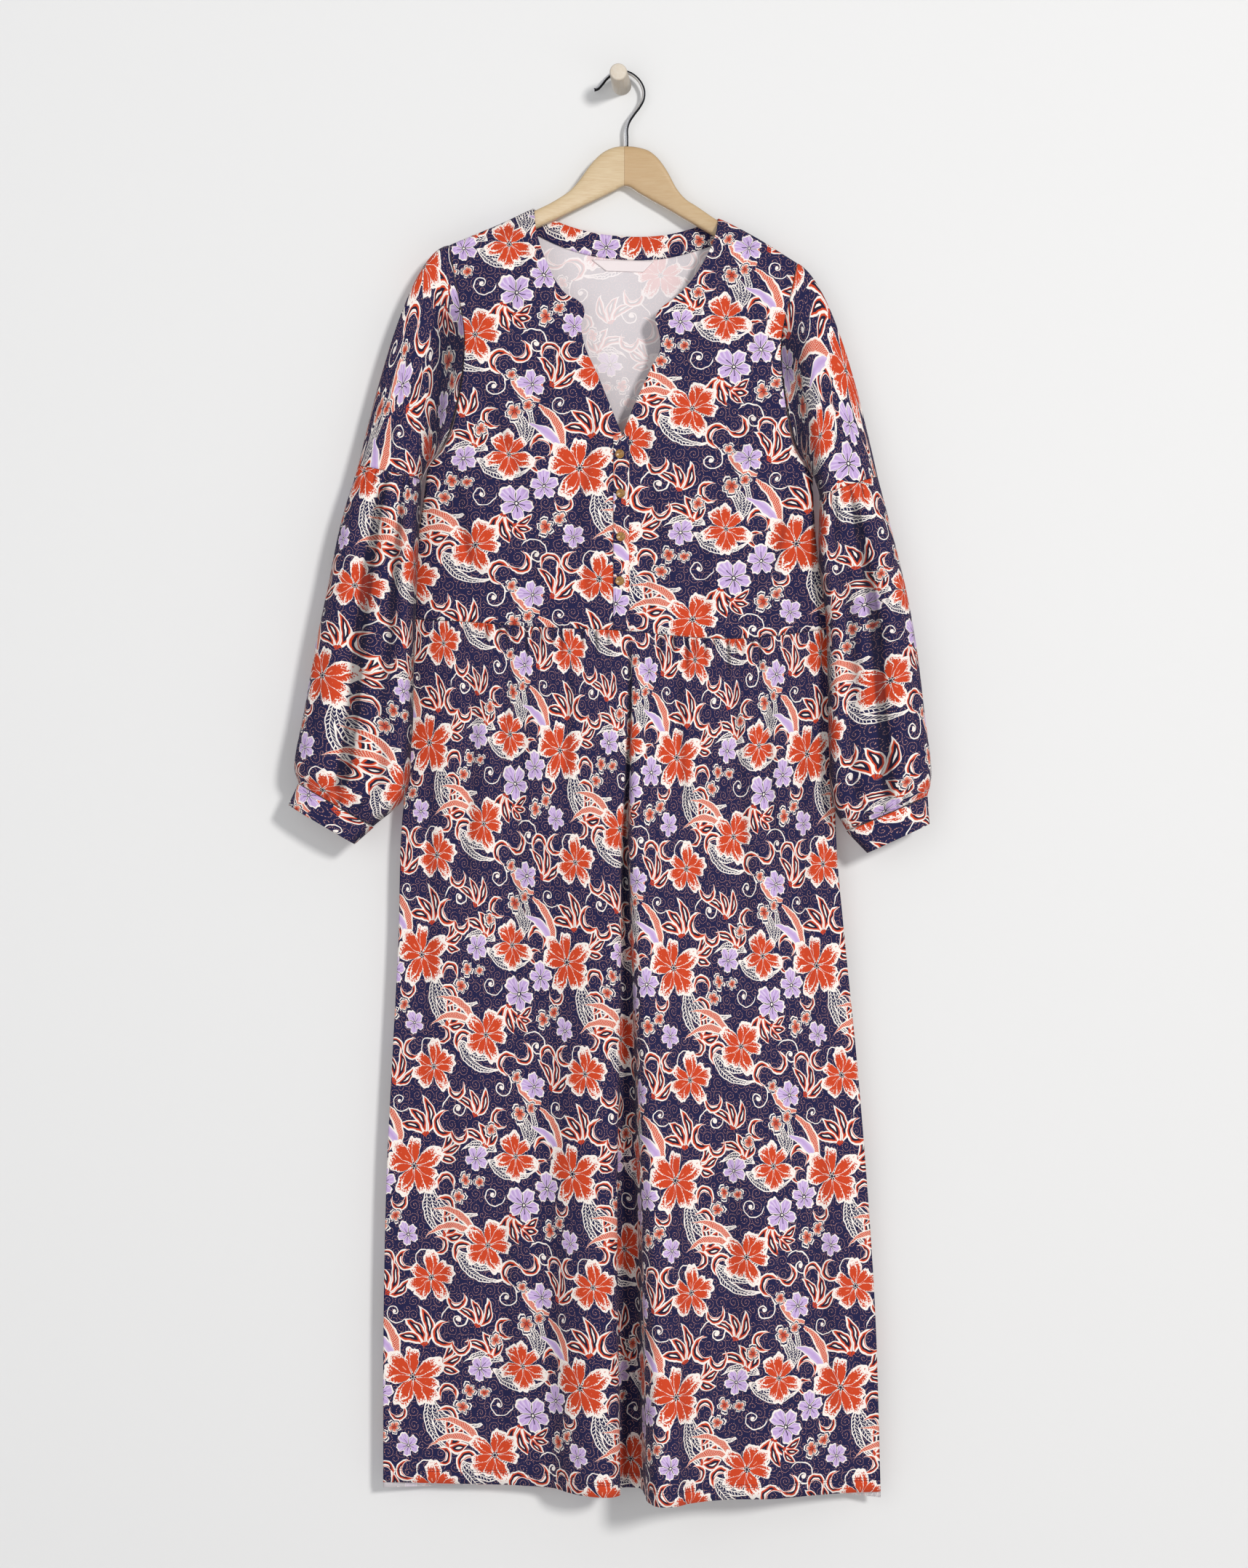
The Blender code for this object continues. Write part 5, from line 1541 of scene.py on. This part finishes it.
def make_skirt(outside, inside):
    """Skirt front and back, each one wide cut gathered into the waist."""
    both = [outside, inside]
    wide = path_length(skirt_front, 1.0)
    front = shell("skirt_front_panel", creased(skirt_front, SKIRT_CREASES, 1), (320, 145), 1.45,
                  wound_place(wide, SKIRT_LONG, 0.345 * wide, 0.877 * SKIRT_LONG), True, both,
                  hem=lambda v: (1 - v) * SKIRT_LONG)
    wide_back = path_length(skirt_back, 1.0)
    back = shell("skirt_back_panel", creased(skirt_back, SKIRT_BACK_CREASES, -1), (260, 120), 1.45,
                 wound_place(wide_back, SKIRT_LONG, 0.3 * wide_back, 0.7 * SKIRT_LONG, -1), False, both,
                 hem=lambda v: (1 - v) * SKIRT_LONG)
    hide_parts("skirt_front")
    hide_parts("skirt_back")


def make_sleeve(name, table, path, head, end_row, side, creases, outside, inside):
    """Cap piece, gathered lower tier and cuff of one sleeve."""
    both = [outside, inside]
    outward = side > 0
    starts = SLEEVE_STARTS[name]
    cap_surface = upper_sleeve(table, path, head, side)
    cap_wide = path_length(cap_surface, 0.7)
    tier_surface = lower_sleeve(table)
    tier_wide = path_length(tier_surface, 0.5)
    cuff_wide = path_length(cuff(table, end_row), 0.8)
    cap = shell("cap_" + name, creased_tube(cap_surface, creases), (130, 70), 1.0,
                wound_place(cap_wide, CAP_LONG, starts.across, starts.down, side), outward, both, tube=True)
    tier = shell("lower_sleeve_" + name, creased_tube(tier_surface, creases), (200, 130), 1.0,
                 wound_place(tier_wide, TIER_LONG, starts.across + 60, starts.down + 40, side), outward, both,
                 tube=True)
    band = shell("cuff_band_" + name, cuff(table, end_row), (90, 10), 1.0,
                 wound_place(cuff_wide, CUFF_LONG, 15, 90, side), outward, both, wall=CUFF_SHELL, tube=True)
    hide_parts("sleeve_upper_" + name)
    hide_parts("sleeve_lower_" + name)
    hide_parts("cuff_" + name)


def hanger_row(share, u):
    """The hanger's smooth section at a share of its reach."""
    keys = column(HANGER, "x")
    x = mix(keys[0], keys[-1], share)
    top = float(through(keys, column(HANGER, "top"), x))
    bottom = float(through(keys, column(HANGER, "bottom"), x))
    angle = 2 * np.pi * u
    power = 2 / BAR_ROUNDING
    up = np.sign(np.cos(angle)) * np.abs(np.cos(angle)) ** power
    out = np.sign(np.sin(angle)) * np.abs(np.sin(angle)) ** power
    height = (bottom - top) / 2
    half = min(HANGER_HALF, height * HANGER_TIP_SHARE)
    return np.stack([np.full_like(u, x), hanger_depth(x) + half * out, -(top + height) + height * up], axis=-1)


def make_hanger(finish):
    """The wooden bar, in finer sections than the solid's."""
    bar = bmesh.new()
    bmesh.ops.create_grid(bar, x_segments=28, y_segments=150, size=0.5)
    for vertex in bar.verts:
        share = vertex.co.y + 0.5
        vertex.co = hanger_row(share, np.array([vertex.co.x + 0.5]))[0] * MM
    bmesh.ops.remove_doubles(bar, verts=bar.verts, dist=1e-6)
    bmesh.ops.holes_fill(bar, edges=[edge for edge in bar.edges if edge.is_boundary])
    bmesh.ops.recalc_face_normals(bar, faces=bar.faces)
    piece = finish_piece("hanger_bar", bar, [finish])
    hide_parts("hanger_body")


def make_hook(finish):
    """The wire hook, round and smooth."""
    wire = bmesh.new()
    count = 150
    bmesh.ops.create_grid(wire, x_segments=20, y_segments=count, size=0.5)
    share = np.linspace(0, 1, count + 1)
    line = along(HOOK, share)
    ahead = np.gradient(line, axis=0)
    ahead /= np.linalg.norm(ahead, axis=1)[:, None]
    for vertex in wire.verts:
        row = round((vertex.co.y + 0.5) * count)
        turn = 2 * math.pi * (vertex.co.x + 0.5)
        from_tip = (count - row) / count * HOOK_LONG
        radius = HOOK_WIRE
        if from_tip < HOOK_KNOB:
            radius *= math.sqrt(max(1 - (1 - from_tip / HOOK_KNOB) ** 2, 0.0)) * HOOK_TIP
        across = radius * math.cos(turn)
        x = line[row, 0] + ahead[row, 1] * across
        drop = line[row, 1] - ahead[row, 0] * across
        vertex.co = (x * MM, (HOOK_DEPTH + radius * math.sin(turn)) * MM, -drop * MM)
    bmesh.ops.remove_doubles(wire, verts=wire.verts, dist=1e-6)
    bmesh.ops.holes_fill(wire, edges=[edge for edge in wire.edges if edge.is_boundary])
    bmesh.ops.recalc_face_normals(wire, faces=wire.faces)
    piece = finish_piece("wire_hook", wire, [finish])
    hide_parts("hanger_hook")


def make_peg(finish):
    """The wall peg with a softened near end."""
    rod = bmesh.new()
    bmesh.ops.create_grid(rod, x_segments=64, y_segments=len(PEG_PROFILE) - 1, size=0.5)
    for vertex in rod.verts:
        stop = PEG_PROFILE[round((vertex.co.y + 0.5) * (len(PEG_PROFILE) - 1))]
        turn = 2 * math.pi * (vertex.co.x + 0.5)
        lean = PEG_LEAN * stop.out / PEG_LENGTH
        vertex.co = ((stop.radius * math.cos(turn) + lean) * MM, -stop.out * MM,
                     stop.radius * math.sin(turn) * MM)
    bmesh.ops.remove_doubles(rod, verts=rod.verts, dist=1e-6)
    bmesh.ops.holes_fill(rod, edges=[edge for edge in rod.edges if edge.is_boundary])
    bmesh.ops.recalc_face_normals(rod, faces=rod.faces)
    piece = finish_piece("round_peg", rod, [finish])
    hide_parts("wall_peg")


def make_button(number, centre, finish, thread):
    """A dished button with four holes, drawn as discs of thread."""
    dish = bmesh.new()
    rings = len(BUTTON_PROFILE) - 1
    bmesh.ops.create_grid(dish, x_segments=48, y_segments=rings, size=0.5)
    surface = float(front_depth(np.array([centre.x], float), np.array([centre.drop], float))[0])
    seat = surface - CLOTH / 2 - TRIM - 2 * LAYER_GAP
    for vertex in dish.verts:
        stop = BUTTON_PROFILE[round((vertex.co.y + 0.5) * rings)]
        turn = 2 * math.pi * (vertex.co.x + 0.5)
        vertex.co = ((centre.x + stop.radius * math.cos(turn)) * MM, (seat - stop.out) * MM,
                     (-centre.drop + stop.radius * math.sin(turn)) * MM)
    bmesh.ops.remove_doubles(dish, verts=dish.verts, dist=1e-6)
    bmesh.ops.recalc_face_normals(dish, faces=dish.faces)
    for side_x in (-1, 1):
        for side_z in (-1, 1):
            spot = Vector(((centre.x + side_x * BUTTON_HOLE_OUT) * MM, (seat - BUTTON_FACE - 0.02) * MM,
                           (-centre.drop + side_z * BUTTON_HOLE_OUT) * MM))
            made = bmesh.ops.create_circle(dish, cap_ends=True, segments=12, radius=BUTTON_HOLE * MM)
            for vertex in made["verts"]:
                x, z, _ = vertex.co
                vertex.co = spot + Vector((x, 0, z))
            for face in dish.faces:
                if face.verts[0] in made["verts"]:
                    face.material_index = 1
    piece = finish_piece(f"horn_button_{number}", dish, [finish, thread])
    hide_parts(f"button_{number}")


def make_stage():
    """Pale wall and floor, which aren't part of the object."""
    wall_mesh = bmesh.new()
    bmesh.ops.create_grid(wall_mesh, x_segments=1, y_segments=1, size=3.0)
    for vertex in wall_mesh.verts:
        x, z, _ = vertex.co
        vertex.co = (x, 0.0006, z - 0.4)
    backdrop = bpy.data.meshes.new("backdrop")
    wall_mesh.to_mesh(backdrop)
    wall_mesh.free()
    made, tree, shader = new_material("painted_wall")
    set_shader(shader, Base_Color=WALL_TINT, Roughness=0.9)
    see_through = tree.nodes.new("ShaderNodeBsdfTransparent")
    side = tree.nodes.new("ShaderNodeNewGeometry")
    choose = tree.nodes.new("ShaderNodeMixShader")
    tree.links.new(side.outputs["Backfacing"], choose.inputs[0])
    tree.links.new(shader.outputs[0], choose.inputs[1])
    tree.links.new(see_through.outputs[0], choose.inputs[2])
    tree.links.new(choose.outputs[0], tree.nodes["Material Output"].inputs[0])
    backdrop.materials.append(made)
    wall = bpy.data.objects.new("backdrop", backdrop)
    wall.visible_shadow = False
    wall.visible_diffuse = False
    wall.visible_glossy = False
    wall.visible_transmission = False
    floor_mesh = bmesh.new()
    bmesh.ops.create_grid(floor_mesh, x_segments=1, y_segments=1, size=4.0)
    for vertex in floor_mesh.verts:
        vertex.co.z = FLOOR
    ground_mesh = bpy.data.meshes.new("floor")
    floor_mesh.to_mesh(ground_mesh)
    floor_mesh.free()
    ground_mesh.materials.append(plain("pale_floor", WALL_TINT, 0.9))
    floor = bpy.data.objects.new("floor", ground_mesh)
    for stage in (wall, floor):
        bpy.context.scene.collection.objects.link(stage)


def add_light(name, place, target, size, energy, tint):
    """A soft area light that looks at a point."""
    data = bpy.data.lights.new(name, "AREA")
    data.shape = "DISK"
    data.size = size
    data.energy = energy
    data.color = tint
    lamp = bpy.data.objects.new(name, data)
    lamp.location = place
    lamp.rotation_euler = (Vector(target) - Vector(place)).to_track_quat("-Z", "Y").to_euler()
    bpy.context.scene.collection.objects.link(lamp)


def make_view():
    """Camera at the photograph's angle, and soft studio light."""
    data = bpy.data.cameras.new("camera")
    data.lens = 66.67
    data.sensor_width = 36.0
    camera = bpy.data.objects.new("camera", data)
    camera.location = (0.0023, -3.0, -0.7214)
    camera.rotation_euler = (math.pi / 2, 0, 0)
    bpy.context.scene.collection.objects.link(camera)
    bpy.context.scene.camera = camera
    add_light("key", (2.72, -5.95, 1.12), (0, 0, -0.75), 0.94, 256, (1.0, 0.985, 0.97))
    add_light("fill", (-1.2, -3.3, -0.3), (0, 0, -0.8), 2.6, 19, (0.97, 0.985, 1.0))
    add_light("behind", (-0.8, 3.8, 0.9), (0, 0, -0.7), 2.6, 34, (1.0, 1.0, 1.0))
    world = bpy.data.worlds.new("soft_room")
    world.use_nodes = True
    world.node_tree.nodes["Background"].inputs[0].default_value = (0.95, 0.96, 1.0, 1)
    world.node_tree.nodes["Background"].inputs[1].default_value = 0.42
    bpy.context.scene.world = world
    bpy.context.scene.view_settings.view_transform = "Standard"


def main():
    """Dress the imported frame."""
    drawn = print_group()
    outside = jersey("printed_jersey", drawn, 0.0)
    inside = jersey("jersey_reverse", drawn, 0.74)
    make_bodice(outside, inside)
    make_label(satin())
    make_skirt(outside, inside)
    make_sleeve("left", SLEEVE_LEFT, ARMHOLE_LEFT, SLEEVE_HEAD_LEFT, CUFF_END_LEFT, -1,
                SLEEVE_LEFT_CREASES, outside, inside)
    make_sleeve("right", SLEEVE_RIGHT, ARMHOLE_RIGHT, SLEEVE_HEAD_RIGHT, CUFF_END_RIGHT, 1,
                SLEEVE_RIGHT_CREASES, outside, inside)
    make_hanger(wood("varnished_beech", BEECH_PALE, BEECH_DARK, (50, 700, 700), 0.38, 0.0026))
    make_hook(chrome())
    make_peg(wood("pale_peg_wood", PEG_PALE, PEG_DARK, (420, 20, 420), 0.65))
    resin = horn()
    thread = plain("dark_thread", DARK, 0.8)
    for number, centre in enumerate(BUTTONS, start=1):
        make_button(number, centre, resin, thread)
    make_stage()
    make_view()


main()
